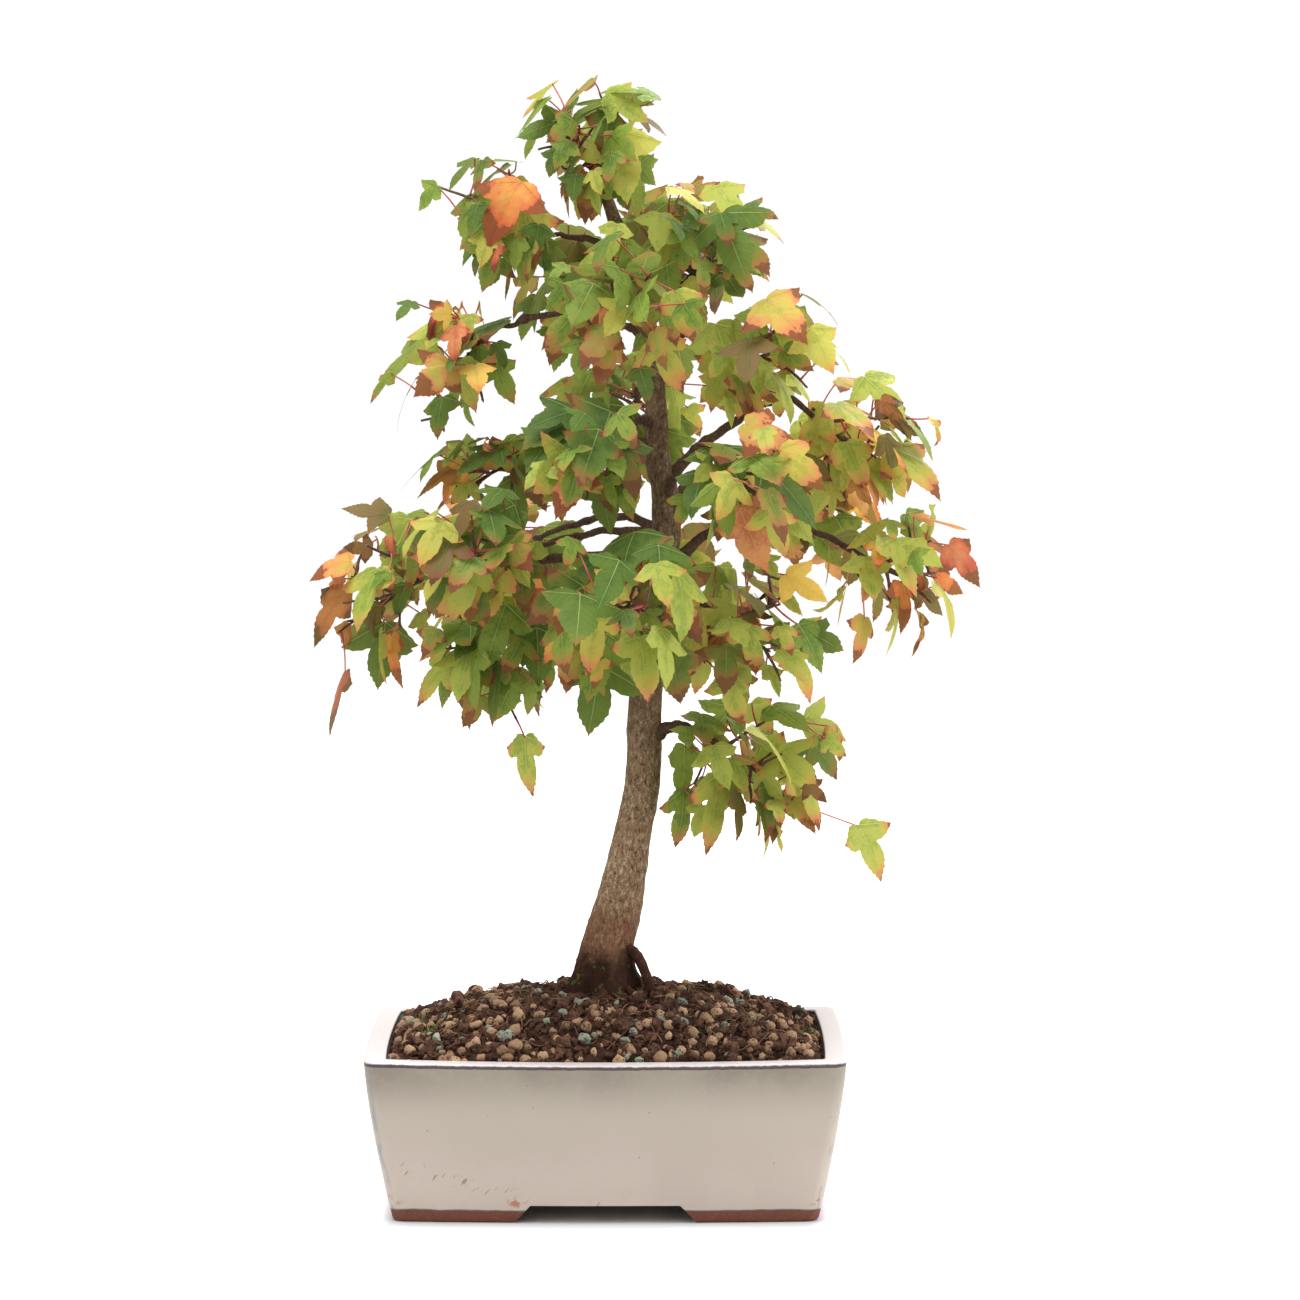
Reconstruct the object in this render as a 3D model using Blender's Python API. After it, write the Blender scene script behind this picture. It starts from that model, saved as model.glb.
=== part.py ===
"""A trident maple grown as a bonsai, with its oblong glazed pot and its soil.

The tree stands on the pot's four feet. Places are in millimetres from the middle of the pot,
with +X to the right, +Y to the back and +Z up, and MM turns them into Blender's metres. The empty
"maple" carries every piece and shifts the whole, so that the origin is under the middle of its box.
"""

import math
import random

import bmesh
import bpy
import numpy as np
from mathutils import Matrix, Vector

MM = 0.001
GAP = 0.3  # air between pieces that touch
BOX_SHIFT = Vector((-17.8, 0.0, 0.0))  # from the middle of the pot to the middle of the whole box

POT_WIDTH = 240.0
POT_DEPTH = 172.0
POT_HEIGHT = 82.0
POT_FLARE = 13.3  # how far the lip stands out past the sole, on each side
POT_FLARE_POWER = 1.35
POT_BOW_X = 1.7  # how far the short sides swell between the corners, and the long ones
POT_BOW_Y = 4.0
POT_CORNER = 6.0
POT_SIDE_STEPS = 5
POT_CORNER_STEPS = 3
POT_LIP = 10.5
POT_LIP_ROUND = 2.2
POT_WALL = 9.0
POT_FLOOR = 9.0
LIP_DIP = 1.0  # how far the long sides of the lip sink in the middle
FOOT_HEIGHT = 9.0
FOOT_BAND = 14.0  # width of the foot ring, seen from below
FRONT_NOTCH = (74.0, 90.0)  # width of the gap between the feet, above and at the sole
SIDE_NOTCH = (44.0, 58.0)

SOIL_EDGE = 2.5  # how far the soil lies under the lip at the wall
SOIL_TOP = 105.0  # height of the flat place that the trunk stands on
SOIL_TOP_RADIUS = 25.0
SOIL_POWER = 1.55
SOIL_MOUNDS = ((56.0, 22.0, 4.0, 12.0), (-60.0, -18.0, 2.5, 16.0))  # x, y, height, radius
SOIL_LUMPS = 44  # smaller ones, spread evenly
SOIL_LUMP_RISE = (-4.0, 5.0)
SOIL_LUMP_RADIUS = 9.0
SOIL_SIDE_STEPS = 9
SOIL_SHARES = (0.97, 0.87, 0.76, 0.65, 0.53, 0.41, 0.28, 0.14, 0.0)  # of the way out to the wall

TRUNK_CUT = SOIL_TOP + GAP
TRUNK = (  # x, y, z of the middle line, and the radius there
    (-2.4, 0.0, 92.0, 22.0),
    (-1.2, 0.0, 107.0, 18.2),
    (-0.2, 0.0, 125.0, 13.4),
    (6.6, 1.0, 150.0, 11.9),
    (12.5, 2.0, 180.0, 9.5),
    (18.5, 2.0, 212.0, 8.9),
    (19.5, 1.0, 250.0, 8.4),
    (24.5, 0.0, 290.0, 7.4),
    (30.5, -1.0, 344.0, 7.1),
    (25.5, 0.0, 378.0, 6.2),
    (25.0, 2.0, 410.0, 4.8),
    (22.0, 2.0, 437.0, 4.2),
    (8.0, 0.0, 482.0, 3.4),
    (-4.0, -1.0, 516.0, 2.3),
)
TRUNK_RINGS = 26
FLARE_LOBES = 5
FLARE_TURN = 0.6
FLARE_DEPTH = 0.16
FLARE_HEIGHT = 16.0

# Each bough leaves the trunk at a height and carries one mass of leaves at its tip. The mass keeps
# to a space with a middle and a reach along X, Y and Z. Its tips are its furthest leaf points, and
# it has so many leaves where they fit.
CROWN = {
    "lower_right": dict(
        height=232, tip=(48, -8, 236), arch=4, thick=(4.3, 2.2), leaves=14,
        middle=(72, -14, 220), reach=(52, 38, 48),
        tips=((141, -18, 161.2), (38, -20, 178), (68, -32, 181), (122, -6, 232), (50, -38, 232)),
    ),
    "right_low": dict(
        height=300, tip=(44, -18, 304), arch=4, thick=(3.0, 1.8), leaves=14,
        middle=(72, -30, 286), reach=(46, 42, 52),
        tips=((107, -34, 254), (66, -44, 256)),
    ),
    "right_outer": dict(
        height=316, tip=(110, 2, 335), arch=18, thick=(3.6, 2.0), leaves=11,
        middle=(147, 0, 315), reach=(42, 48, 46),
        tips=((188.4, -8, 309), (128, -12, 270), (153, -14, 286), (170, 16, 292)),
    ),
    "right_mid": dict(
        height=361, tip=(92, 4, 404), arch=8, thick=(3.4, 2.0), leaves=15,
        middle=(130, 0, 374), reach=(44, 46, 44),
        tips=((167, -6, 374), (140, 4, 405)),
    ),
    "right_high": dict(
        height=431, tip=(52, -8, 434), arch=3, thick=(2.4, 1.6), leaves=15,
        middle=(80, -14, 424), reach=(46, 42, 38),
        tips=((117, -12, 430),),
    ),
    "upper_right": dict(
        height=449, tip=(40, -4, 462), arch=2, thick=(2.8, 1.7), leaves=14,
        middle=(52, -6, 474), reach=(46, 38, 36),
        tips=((64, -6, 508), (93, -6, 484)),
    ),
    "upper_left": dict(
        height=474, tip=(-28, -2, 486), arch=3, thick=(2.2, 1.6), leaves=11,
        middle=(-54, -4, 496), reach=(38, 38, 42),
        tips=((-74, -8, 478), (-65, -6, 521)),
    ),
    "left_upper": dict(
        height=455, tip=(-56, -6, 438), arch=2, thick=(2.2, 1.6), leaves=8,
        middle=(-80, -10, 414), reach=(38, 42, 42),
        tips=((-110, -8, 387), (-103, 2, 437)),
    ),
    "left_mid": dict(
        height=380, tip=(-36, -4, 378), arch=5, thick=(2.9, 1.8), leaves=10,
        middle=(-62, -8, 364), reach=(40, 40, 28),
        tips=((-98, -12, 356),),
    ),
    "far_left": dict(
        height=328, tip=(-88, 0, 317), arch=1, thick=(3.6, 2.0), leaves=11,
        middle=(-114, -4, 300), reach=(36, 44, 46),
        tips=((-152.9, -4, 316), (-140, -8, 233), (-104, -20, 258), (-134, 4, 349)),
    ),
    "left_low": dict(
        height=296, tip=(-18, -20, 290), arch=6, thick=(2.8, 1.8), leaves=15,
        middle=(-58, -28, 282), reach=(42, 44, 42),
        tips=((-39, -34, 205), (-95, -20, 249)),
    ),
    "front_low": dict(
        height=290, tip=(14, -40, 302), arch=6, thick=(3.0, 1.8), leaves=17,
        middle=(8, -82, 304), reach=(54, 52, 50),
        tips=((-8, -90, 243), (-12, -142.9, 292)),
    ),
    "front_left": dict(
        height=334, tip=(-28, -34, 334), arch=4, thick=(2.8, 1.8), leaves=14,
        middle=(-60, -66, 330), reach=(42, 42, 36),
        tips=((-88, -92, 310),),
    ),
    "front_right": dict(
        height=352, tip=(42, -34, 376), arch=5, thick=(2.8, 1.8), leaves=13,
        middle=(68, -68, 364), reach=(42, 42, 42),
        tips=((88, -92, 330),),
    ),
    "front_mid": dict(
        height=392, tip=(2, -26, 388), arch=3, thick=(2.2, 1.6), leaves=15,
        middle=(-8, -60, 374), reach=(38, 38, 38),
        tips=((-18, -92, 354), (12, -86, 350)),
    ),
    "front_high": dict(
        height=440, tip=(10, -22, 448), arch=2, thick=(2.2, 1.6), leaves=13,
        middle=(12, -54, 446), reach=(44, 38, 42),
        tips=((-4, -74, 412), (34, -62, 430)),
    ),
    "back_low": dict(
        height=304, tip=(34, 42, 310), arch=6, thick=(3.2, 1.8), leaves=13,
        middle=(36, 92, 296), reach=(50, 50, 44),
        tips=((34, 142.9, 286), (60, 100, 256)),
    ),
    "back_left": dict(
        height=338, tip=(-24, 44, 336), arch=6, thick=(3.2, 1.8), leaves=13,
        middle=(-58, 84, 316), reach=(50, 50, 44),
        tips=((-104, 92, 300), (-60, 132, 296)),
    ),
    "back_right": dict(
        height=350, tip=(62, 38, 362), arch=6, thick=(3.2, 1.8), leaves=13,
        middle=(100, 76, 350), reach=(50, 48, 46),
        tips=((146, 84, 334), (104, 122, 324)),
    ),
    "back_mid": dict(
        height=402, tip=(16, 34, 406), arch=4, thick=(2.6, 1.7), leaves=13,
        middle=(14, 76, 396), reach=(50, 46, 42),
        tips=((10, 120, 372),),
    ),
    "back_upper": dict(
        height=432, tip=(-8, 24, 442), arch=3, thick=(2.2, 1.6), leaves=11,
        middle=(-14, 60, 452), reach=(36, 42, 36),
        tips=((-44, 68, 430),),
    ),
    "back_high": dict(
        height=452, tip=(22, 20, 464), arch=2, thick=(2.2, 1.6), leaves=12,
        middle=(34, 50, 474), reach=(46, 38, 38),
        tips=((60, 80, 456),),
    ),
    "apex": dict(
        height=None, tip=TRUNK[-1][:3], arch=0, thick=(2.3, 2.3), leaves=14,
        middle=(-12, 0, 528), reach=(46, 42, 38),
        tips=((-4, -4, 563.4), (22, -4, 540), (-48, -6, 532)),
    ),
}
BOUGH_RINGS = 7
BOUGH_KINK = 1.3

SEED = 17
CROWN_MIDDLE_X = 12.0
CROWN_MIDDLE_Y = 20.0
CROWN_LOW = np.array((-153.0, -143.0, 161.0))  # corners of the box that holds every leaf
CROWN_HIGH = np.array((188.5, 143.0, 563.5))
TWIGS = 7  # that leave each stem
TWIG_REACH = (0.42, 0.62)  # how far out they end, as a share of the space's reach
TWIG_LEAN = 0.3  # twigs lean forward: they leave the stem this share of its length early
STALK_LEAN = 0.15  # and so do stalks on a twig
WANDER = 0.3  # how far twigs and leaves stray from their even spread
LEAF_LENGTH = (28.0, 43.0)
TIP_LEAF_LENGTH = (24.0, 36.0)  # of the leaves at the crown's tips
LEAF_THICKNESS = 0.045  # of its length, in the middle
LEAF_REACH = (0.5, 0.95)  # how far out a leaf's middle lies, as a share of the space's reach
LEAF_TRIES = 140
LEAF_HANG = (0.4, 0.5, 0.75, 0.35)  # outward, away from the mass, down, and at random
LEAF_FACING = (0.4, 0.45, 0.5, 0.55)  # outward, to the front or back, up, and at random
BLADE_ROOM = 3.2  # kept between the points of leaves, and between leaves and twigs
STALK_LENGTH = (8.0, 42.0)
STALK_RADIUS = 0.42
STALK_SINK = 0.3  # how far a stalk runs into its leaf, as a share of the leaf's length
TWIG_RADIUS = (0.95, 0.75)
STEM_RADIUS = (1.9, 1.3)
STEM_SHARE = 0.8  # of the bough's tip, where the stem meets it
STEM_FOOT = 4.0  # the straight first piece of a stem
STEM_LAP = 0.5
STEM_PAST_MIDDLE = 0.35  # how far a stem runs on past the middle of its mass
LIMB_ROOM = 2.0  # kept between leaves or twigs and the limbs
REACH_SPARE = 1.25  # a leaf's corner may stand this far out of the reach, squared
SPACE_ROOM = 0.8  # kept between leaves or twigs and the border of their space
MIDDLE_OF_LEAF = 0.36
LEAF_OUTLINE = (  # along and across, from the stalk: three lobes that point forward
    (1.0, 0.0),
    (0.44, 0.25),
    (0.26, 0.57),
    (0.0, 0.0),
    (0.26, -0.57),
    (0.44, -0.25),
)
LEAF_DROOP = 0.11  # how far the lobes' points hang, as a share of the length

FINISHES = {  # base colour, roughness
    "glaze": ((0.80, 0.76, 0.68), 0.25),
    "soil": ((0.09, 0.06, 0.045), 0.95),
    "bark": ((0.27, 0.22, 0.17), 0.85),
    "leaf": ((0.30, 0.42, 0.12), 0.55),
}


def clear_scene():
    for obj in list(bpy.data.objects):
        bpy.data.objects.remove(obj, do_unlink=True)


def new_collection(name, hidden=False):
    group = bpy.data.collections.new(name)
    bpy.context.scene.collection.children.link(group)
    group.hide_render = hidden
    return group


def finish_material(name, piece_name):
    colour, roughness = FINISHES[name]
    material = bpy.data.materials.new(f"{piece_name}_{name}")
    material.use_nodes = True
    shader = material.node_tree.nodes["Principled BSDF"]
    shader.inputs["Base Color"].default_value = (*colour, 1.0)
    shader.inputs["Roughness"].default_value = roughness
    shader.inputs["Metallic"].default_value = 0.0
    return material


def add_piece(name, mesh, group, carrier=None, finish=None):
    obj = bpy.data.objects.new(name, mesh)
    group.objects.link(obj)
    obj.parent = carrier
    if finish:
        mesh.materials.clear()
        mesh.materials.append(finish_material(finish, name))
        mesh.shade_smooth()
        mesh.set_sharp_from_angle(angle=math.radians(35))
    return obj


def add_cutter(name, mesh, group, carrier):
    cutter = add_piece(name, mesh, group, carrier)
    cutter.hide_render = True
    cutter.display_type = "WIRE"
    return cutter


def cut(piece, cutter):
    modifier = piece.modifiers.new(cutter.name, "BOOLEAN")
    modifier.operation = "DIFFERENCE"
    modifier.object = cutter
    modifier.solver = "EXACT"


def mesh_from(bm, name):
    """The finished bmesh in metres."""
    bmesh.ops.recalc_face_normals(bm, faces=bm.faces)
    bmesh.ops.scale(bm, vec=(MM, MM, MM), verts=bm.verts)
    mesh = bpy.data.meshes.new(name)
    bm.to_mesh(mesh)
    bm.free()
    return mesh


def loft(name, rings):
    """A closed mesh through rings of the same number of points, with a flat cap at each end."""
    bm = bmesh.new()
    rows = [[bm.verts.new(point) for point in ring] for ring in rings]
    for lower, upper in zip(rows, rows[1:]):
        for here, there in zip(range(-1, len(lower) - 1), range(len(lower))):
            bm.faces.new((lower[here], lower[there], upper[there], upper[here]))
    bm.faces.new(rows[0][::-1])
    bm.faces.new(rows[-1])
    return mesh_from(bm, name)


def pot_ring(inset, z, dip=0.0, side_steps=POT_SIDE_STEPS):
    """The pot's outline at a height: an oblong with round corners and swelling sides."""
    height_share = min(max(z / POT_HEIGHT, 0.0), 1.0)
    flare = POT_FLARE * (1.0 - height_share) ** POT_FLARE_POWER
    half_width = POT_WIDTH / 2 - flare - inset
    half_depth = POT_DEPTH / 2 - flare - inset
    corner = max(POT_CORNER - inset / 3, 2.0)
    points = []
    for quarter in range(4):
        along_x = quarter % 2 == 0
        flat_width = half_width - POT_BOW_X
        flat_depth = half_depth - POT_BOW_Y
        ahead = flat_depth if along_x else flat_width
        aside = (flat_width if along_x else flat_depth) - corner
        turn = Matrix.Rotation(quarter * math.pi / 2, 2)
        for step in range(side_steps):
            points.append(turn @ Vector((-aside + 2 * aside * step / side_steps, -ahead)))
        for step in range(POT_CORNER_STEPS):
            angle = -math.pi / 2 + math.pi / 2 * step / POT_CORNER_STEPS
            bend = Vector((math.cos(angle), math.sin(angle))) * corner
            points.append(turn @ (Vector((aside, corner - ahead)) + bend))
    ring = []
    for point in points:
        x_share = point.x / half_width
        y_share = point.y / half_depth
        x = point.x + POT_BOW_X * x_share * (1.0 - y_share**2)
        y = point.y + POT_BOW_Y * y_share * (1.0 - x_share**2)
        ring.append(Vector((x, y, z - dip * (1.0 - x_share**2))))
    return ring


def make_pot(group, cutters, carrier):
    """One thick-walled vessel: up the outside, over the round lip and down to the inner floor."""
    rounding = POT_LIP_ROUND
    rings = [pot_ring(0.8, 0.0), pot_ring(0.0, 1.0)]
    rings += [pot_ring(0.0, POT_HEIGHT * share) for share in (0.12, 0.3, 0.5, 0.7, 0.85)]
    rings.append(pot_ring(0.0, POT_HEIGHT - rounding, LIP_DIP))
    rings.append(pot_ring(rounding * 0.3, POT_HEIGHT - rounding * 0.3, LIP_DIP))
    rings.append(pot_ring(rounding, POT_HEIGHT, LIP_DIP))
    rings.append(pot_ring(POT_LIP - rounding * 0.6, POT_HEIGHT, LIP_DIP))
    rings.append(pot_ring(POT_LIP, POT_HEIGHT - rounding, LIP_DIP))
    rings.append(pot_ring(POT_WALL, POT_HEIGHT * 0.45))
    rings.append(pot_ring(POT_WALL, FOOT_HEIGHT + POT_FLOOR))
    pot = add_piece("pot", loft("pot", rings), group, carrier, "glaze")

    recess = loft("foot_recess", [pot_ring(FOOT_BAND, z) for z in (-5.0, FOOT_HEIGHT + 0.8)])
    cut(pot, add_cutter("foot_recess", recess, cutters, carrier))
    for name, (above, below), turn in (
        ("front_notch", FRONT_NOTCH, 0.0),
        ("side_notch", SIDE_NOTCH, math.pi / 2),
    ):
        cut(pot, add_cutter(name, notch_mesh(name, above, below, turn), cutters, carrier))


def notch_mesh(name, above, below, turn):
    """A long bar, wider at the sole, that leaves slanting ends on the feet."""
    bm = bmesh.new()
    bmesh.ops.create_cube(bm, size=1.0)
    slope = (below - above) / 2 / FOOT_HEIGHT
    for vertex in bm.verts:
        high = vertex.co.z > 0
        z = FOOT_HEIGHT if high else -FOOT_HEIGHT / 2
        half = above / 2 + slope * (FOOT_HEIGHT - z)
        vertex.co = Vector((math.copysign(half, vertex.co.x), vertex.co.y * POT_WIDTH * 2, z))
    bmesh.ops.rotate(bm, matrix=Matrix.Rotation(turn, 3, "Z"), verts=bm.verts)
    return mesh_from(bm, name)


def soil_lumps():
    """The mounds, and lumps and hollows spread over the soil by the golden angle."""
    rng = random.Random(f"{SEED} soil")
    lumps = list(SOIL_MOUNDS)
    for index in range(SOIL_LUMPS):
        out = math.sqrt((index + 0.5) / SOIL_LUMPS)
        angle = index * math.pi * (3.0 - math.sqrt(5.0))
        x = out * POT_WIDTH / 2 * math.cos(angle)
        y = out * POT_DEPTH / 2 * math.sin(angle)
        lumps.append((x, y, rng.uniform(*SOIL_LUMP_RISE), SOIL_LUMP_RADIUS))
    return lumps


def soil_height(x, y, share, lumps):
    """The mound at a point whose way from the flat place to the wall is the given share."""
    edge = POT_HEIGHT - SOIL_EDGE
    z = edge + (SOIL_TOP - edge) * (1.0 - share**SOIL_POWER)
    away = min(1.0, share * 4.0) * min(1.0, (1.0 - share) * 4.0)
    for lump_x, lump_y, rise, radius in lumps:
        z += away * rise * math.exp(-((x - lump_x) ** 2 + (y - lump_y) ** 2) / radius**2)
    return z


def make_soil(group, carrier):
    """The soil fills the pot and rises in a lumpy mound to a flat place under the trunk."""
    floor = FOOT_HEIGHT + POT_FLOOR + GAP
    edge = POT_HEIGHT - SOIL_EDGE - POT_LIP_ROUND
    steps = SOIL_SIDE_STEPS
    rings = [pot_ring(POT_WALL + GAP, z, 0.0, steps) for z in (floor, POT_HEIGHT * 0.45)]
    rings.append(pot_ring(POT_LIP + GAP, edge, LIP_DIP, steps))
    wall = pot_ring(POT_LIP + GAP, POT_HEIGHT - SOIL_EDGE, 0.0, steps)
    middle = Vector(TRUNK[0][:2])
    lumps = soil_lumps()
    for share in SOIL_SHARES:
        ring = []
        for point in wall:
            flat = point.to_2d()
            inner = middle + (flat - middle).normalized() * SOIL_TOP_RADIUS
            x, y = inner.lerp(flat, share)
            ring.append(Vector((x, y, soil_height(x, y, share, lumps))))
        rings.append(ring)
    add_piece("soil", loft("soil", rings), group, carrier, "soil")


def smooth_path(stations, count):
    """Points and radii along a smooth line through the stations."""
    rows = [Vector(station) for station in stations]
    rows = [rows[0] * 2 - rows[1], *rows, rows[-1] * 2 - rows[-2]]
    spans = len(rows) - 3
    path = []
    for step in range(count):
        place = min(step / (count - 1) * spans, spans - 1e-6)
        span = int(place)
        t = place - span
        a, b, c, d = rows[span : span + 4]
        path.append(
            (b * 2 + (c - a) * t + (a * 2 - b * 5 + c * 4 - d) * t**2 + (b * 3 - a - c * 3 + d) * t**3) / 2
        )
    return path


def trunk_path():
    return smooth_path(TRUNK, TRUNK_RINGS)


def trunk_at(height):
    path = trunk_path()
    for low, high in zip(path, path[1:]):
        if low.z <= height <= high.z:
            return low.lerp(high, (height - low.z) / (high.z - low.z))
    return path[-1]


def bough_path(name, plan):
    """A bough rises from the trunk's middle line to its tip in one arch, with small kinks."""
    rng = random.Random(f"{SEED} bough {name}")
    root = trunk_at(plan["height"]).to_3d()
    tip = Vector(plan["tip"])
    crest = root.lerp(tip, 0.5) + Vector((0.0, 0.0, 2.0 * plan["arch"]))
    thick, thin = plan["thick"]
    path = []
    for step in range(BOUGH_RINGS):
        t = step / (BOUGH_RINGS - 1)
        point = root * (1 - t) ** 2 + crest * (2 * t * (1 - t)) + tip * t**2
        kink = BOUGH_KINK * math.sin(math.pi * t)
        point += Vector([rng.uniform(-kink, kink) for _ in range(3)])
        path.append(Vector((*point, thick + (thin - thick) * t**0.8)))
    return path


def tube_mesh(name, path, roundness, spare=0.0):
    """A tapering tube with closed ends and 4 + 2 x roundness sides, made from a bevelled curve."""
    curve = bpy.data.curves.new(name, "CURVE")
    curve.dimensions = "3D"
    curve.bevel_depth = 1.0 * MM
    curve.bevel_resolution = roundness
    curve.use_fill_caps = True
    spline = curve.splines.new("POLY")
    spline.points.add(len(path) - 1)
    for point, station in zip(spline.points, path):
        point.co = (*(station.to_3d() * MM), 1.0)
        point.radius = station.w + spare
    holder = bpy.data.objects.new(name, curve)
    bpy.context.scene.collection.objects.link(holder)
    graph = bpy.context.evaluated_depsgraph_get()
    mesh = bpy.data.meshes.new_from_object(holder.evaluated_get(graph))
    bpy.data.objects.remove(holder)
    bpy.data.curves.remove(curve)
    bm = bmesh.new()
    bm.from_mesh(mesh)
    bmesh.ops.remove_doubles(bm, verts=bm.verts, dist=0.001 * MM)
    bmesh.ops.recalc_face_normals(bm, faces=bm.faces)
    bm.to_mesh(mesh)
    bm.free()
    return mesh


def trunk_mesh(name, spare=0.0):
    """The trunk's tube, drawn out into root ridges at its foot and cut flat at the soil."""
    mesh = tube_mesh(name, trunk_path(), 4, spare)
    bm = bmesh.new()
    bm.from_mesh(mesh)
    for vertex in bm.verts:
        rise = vertex.co.z / MM - TRUNK_CUT
        if rise > FLARE_HEIGHT * 4:
            continue
        middle = trunk_at(vertex.co.z / MM).to_2d() * MM
        outward = vertex.co.to_2d() - middle
        ridge = math.cos(FLARE_LOBES * math.atan2(outward.y, outward.x) + FLARE_TURN)
        grow = FLARE_DEPTH * ridge * math.exp(-max(rise, 0.0) / FLARE_HEIGHT)
        vertex.co.x += outward.x * grow
        vertex.co.y += outward.y * grow
    whole = bm.verts[:] + bm.edges[:] + bm.faces[:]
    cut_place = (0.0, 0.0, (TRUNK_CUT - spare) * MM)
    made = bmesh.ops.bisect_plane(bm, geom=whole, plane_co=cut_place, plane_no=(0, 0, 1), clear_inner=True)
    rim = [item for item in made["geom_cut"] if isinstance(item, bmesh.types.BMEdge)]
    bmesh.ops.contextual_create(bm, geom=rim)
    bmesh.ops.recalc_face_normals(bm, faces=bm.faces)
    bm.to_mesh(mesh)
    bm.free()
    return mesh


def make_limbs(group, cutters, carrier):
    """The trunk, and the boughs, each cut back to a hair's breadth from the trunk's bark."""
    add_piece("trunk", trunk_mesh("trunk"), group, carrier, "bark")
    clearance = add_cutter("trunk_clearance", trunk_mesh("trunk_clearance", GAP), cutters, carrier)
    paths = {"trunk": trunk_path()}
    for name, plan in CROWN.items():
        if plan["height"] is None:
            continue
        paths[name] = bough_path(name, plan)
        bough = add_piece(f"bough_{name}", tube_mesh(name, paths[name], 1), group, carrier, "bark")
        cut(bough, clearance)
    return paths


class Limbs:
    """The trunk and boughs as a row of short rods, for keeping leaves and twigs clear of them."""

    def __init__(self, paths):
        rods = [pair for path in paths.values() for pair in zip(path, path[1:])]
        self.start = np.array([low[:3] for low, high in rods])
        self.run = np.array([high[:3] for low, high in rods]) - self.start
        self.radius = np.array([max(low.w, high.w) for low, high in rods])

    def clear_of(self, points, room):
        away = points[:, None, :] - self.start
        share = (away * self.run).sum(2) / (self.run**2).sum(1)
        nearest = away - np.clip(share, 0.0, 1.0)[:, :, None] * self.run
        return bool((np.linalg.norm(nearest, axis=2) > self.radius + room).all())


class Space:
    """The room that one mass keeps to: a rounded reach, with a flat border to each other mass."""

    def __init__(self, name):
        plan = CROWN[name]
        self.middle = np.array(plan["middle"], float)
        self.reach = np.array(plan["reach"], float)
        self.borders = []
        for other, theirs in CROWN.items():
            if other == name:
                continue
            away = np.array(theirs["middle"], float) - self.middle
            apart = np.linalg.norm(away)
            away /= apart
            own = 1.0 / np.linalg.norm(away / self.reach)
            their = 1.0 / np.linalg.norm(away / np.array(theirs["reach"], float))
            self.borders.append((away, self.middle @ away + apart * own / (own + their) - SPACE_ROOM))

    def holds(self, points, within_reach=True):
        if (points < CROWN_LOW).any() or (points > CROWN_HIGH).any():
            return False
        if within_reach and (((points - self.middle) / self.reach) ** 2).sum(1).max() > REACH_SPARE:
            return False
        return all((points @ away).max() < limit for away, limit in self.borders)


def along(start, end, step=2.5):
    """Points along a straight line, for testing it against the limbs."""
    count = max(2, int((end - start).length / step) + 1)
    return np.array([start.lerp(end, share) for share in np.linspace(0.0, 1.0, count)])


def near(points, others, room):
    """True where any point of one set lies closer to the other set than the room."""
    if not len(points) or not len(others):
        return False
    return bool((np.linalg.norm(points[:, None] - others[None], axis=2) < room).any())


def leaf_frame(base, heading, facing):
    """The leaf's own axes: along it from the stalk, across it, and out of its face."""
    across = facing.cross(heading).normalized()
    face = heading.cross(across)
    return Matrix((heading, across, face)).transposed().to_4x4(), Vector(base)


def leaf_points(base, heading, facing, length):
    """Points spread over the blade: its outline and the lines from its middle to the outline."""
    turn, place = leaf_frame(base, heading, facing)
    middle = Vector((MIDDLE_OF_LEAF, 0.0, 0.0))
    corners = [Vector((x, y, -LEAF_DROOP if abs(y) > 0.3 or x == 1.0 else 0.0)) for x, y in LEAF_OUTLINE]
    spots = []
    for corner, following in zip(corners, corners[1:] + corners[:1]):
        spots += [middle.lerp(corner, share) for share in (0.25, 0.5, 0.75, 1.0)]
        spots += [corner.lerp(following, share) for share in (0.33, 0.67)]
    return np.array([place + turn @ (spot * length) for spot in spots])


def unit(rng):
    """A seeded direction, even over the sphere."""
    z = rng.uniform(-1.0, 1.0)
    angle = rng.uniform(0.0, 2 * math.pi)
    flat = math.sqrt(1.0 - z * z)
    return Vector((flat * math.cos(angle), flat * math.sin(angle), z))


def spiral(index, count):
    """Directions spread evenly over the sphere, by the golden angle."""
    z = 1.0 - 2.0 * (index + 0.5) / count
    angle = index * math.pi * (3.0 - math.sqrt(5.0))
    flat = math.sqrt(1.0 - z * z)
    return Vector((flat * math.cos(angle), flat * math.sin(angle), z))


def scaled(direction, reach):
    return Vector([a * b for a, b in zip(direction, reach)])


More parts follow.
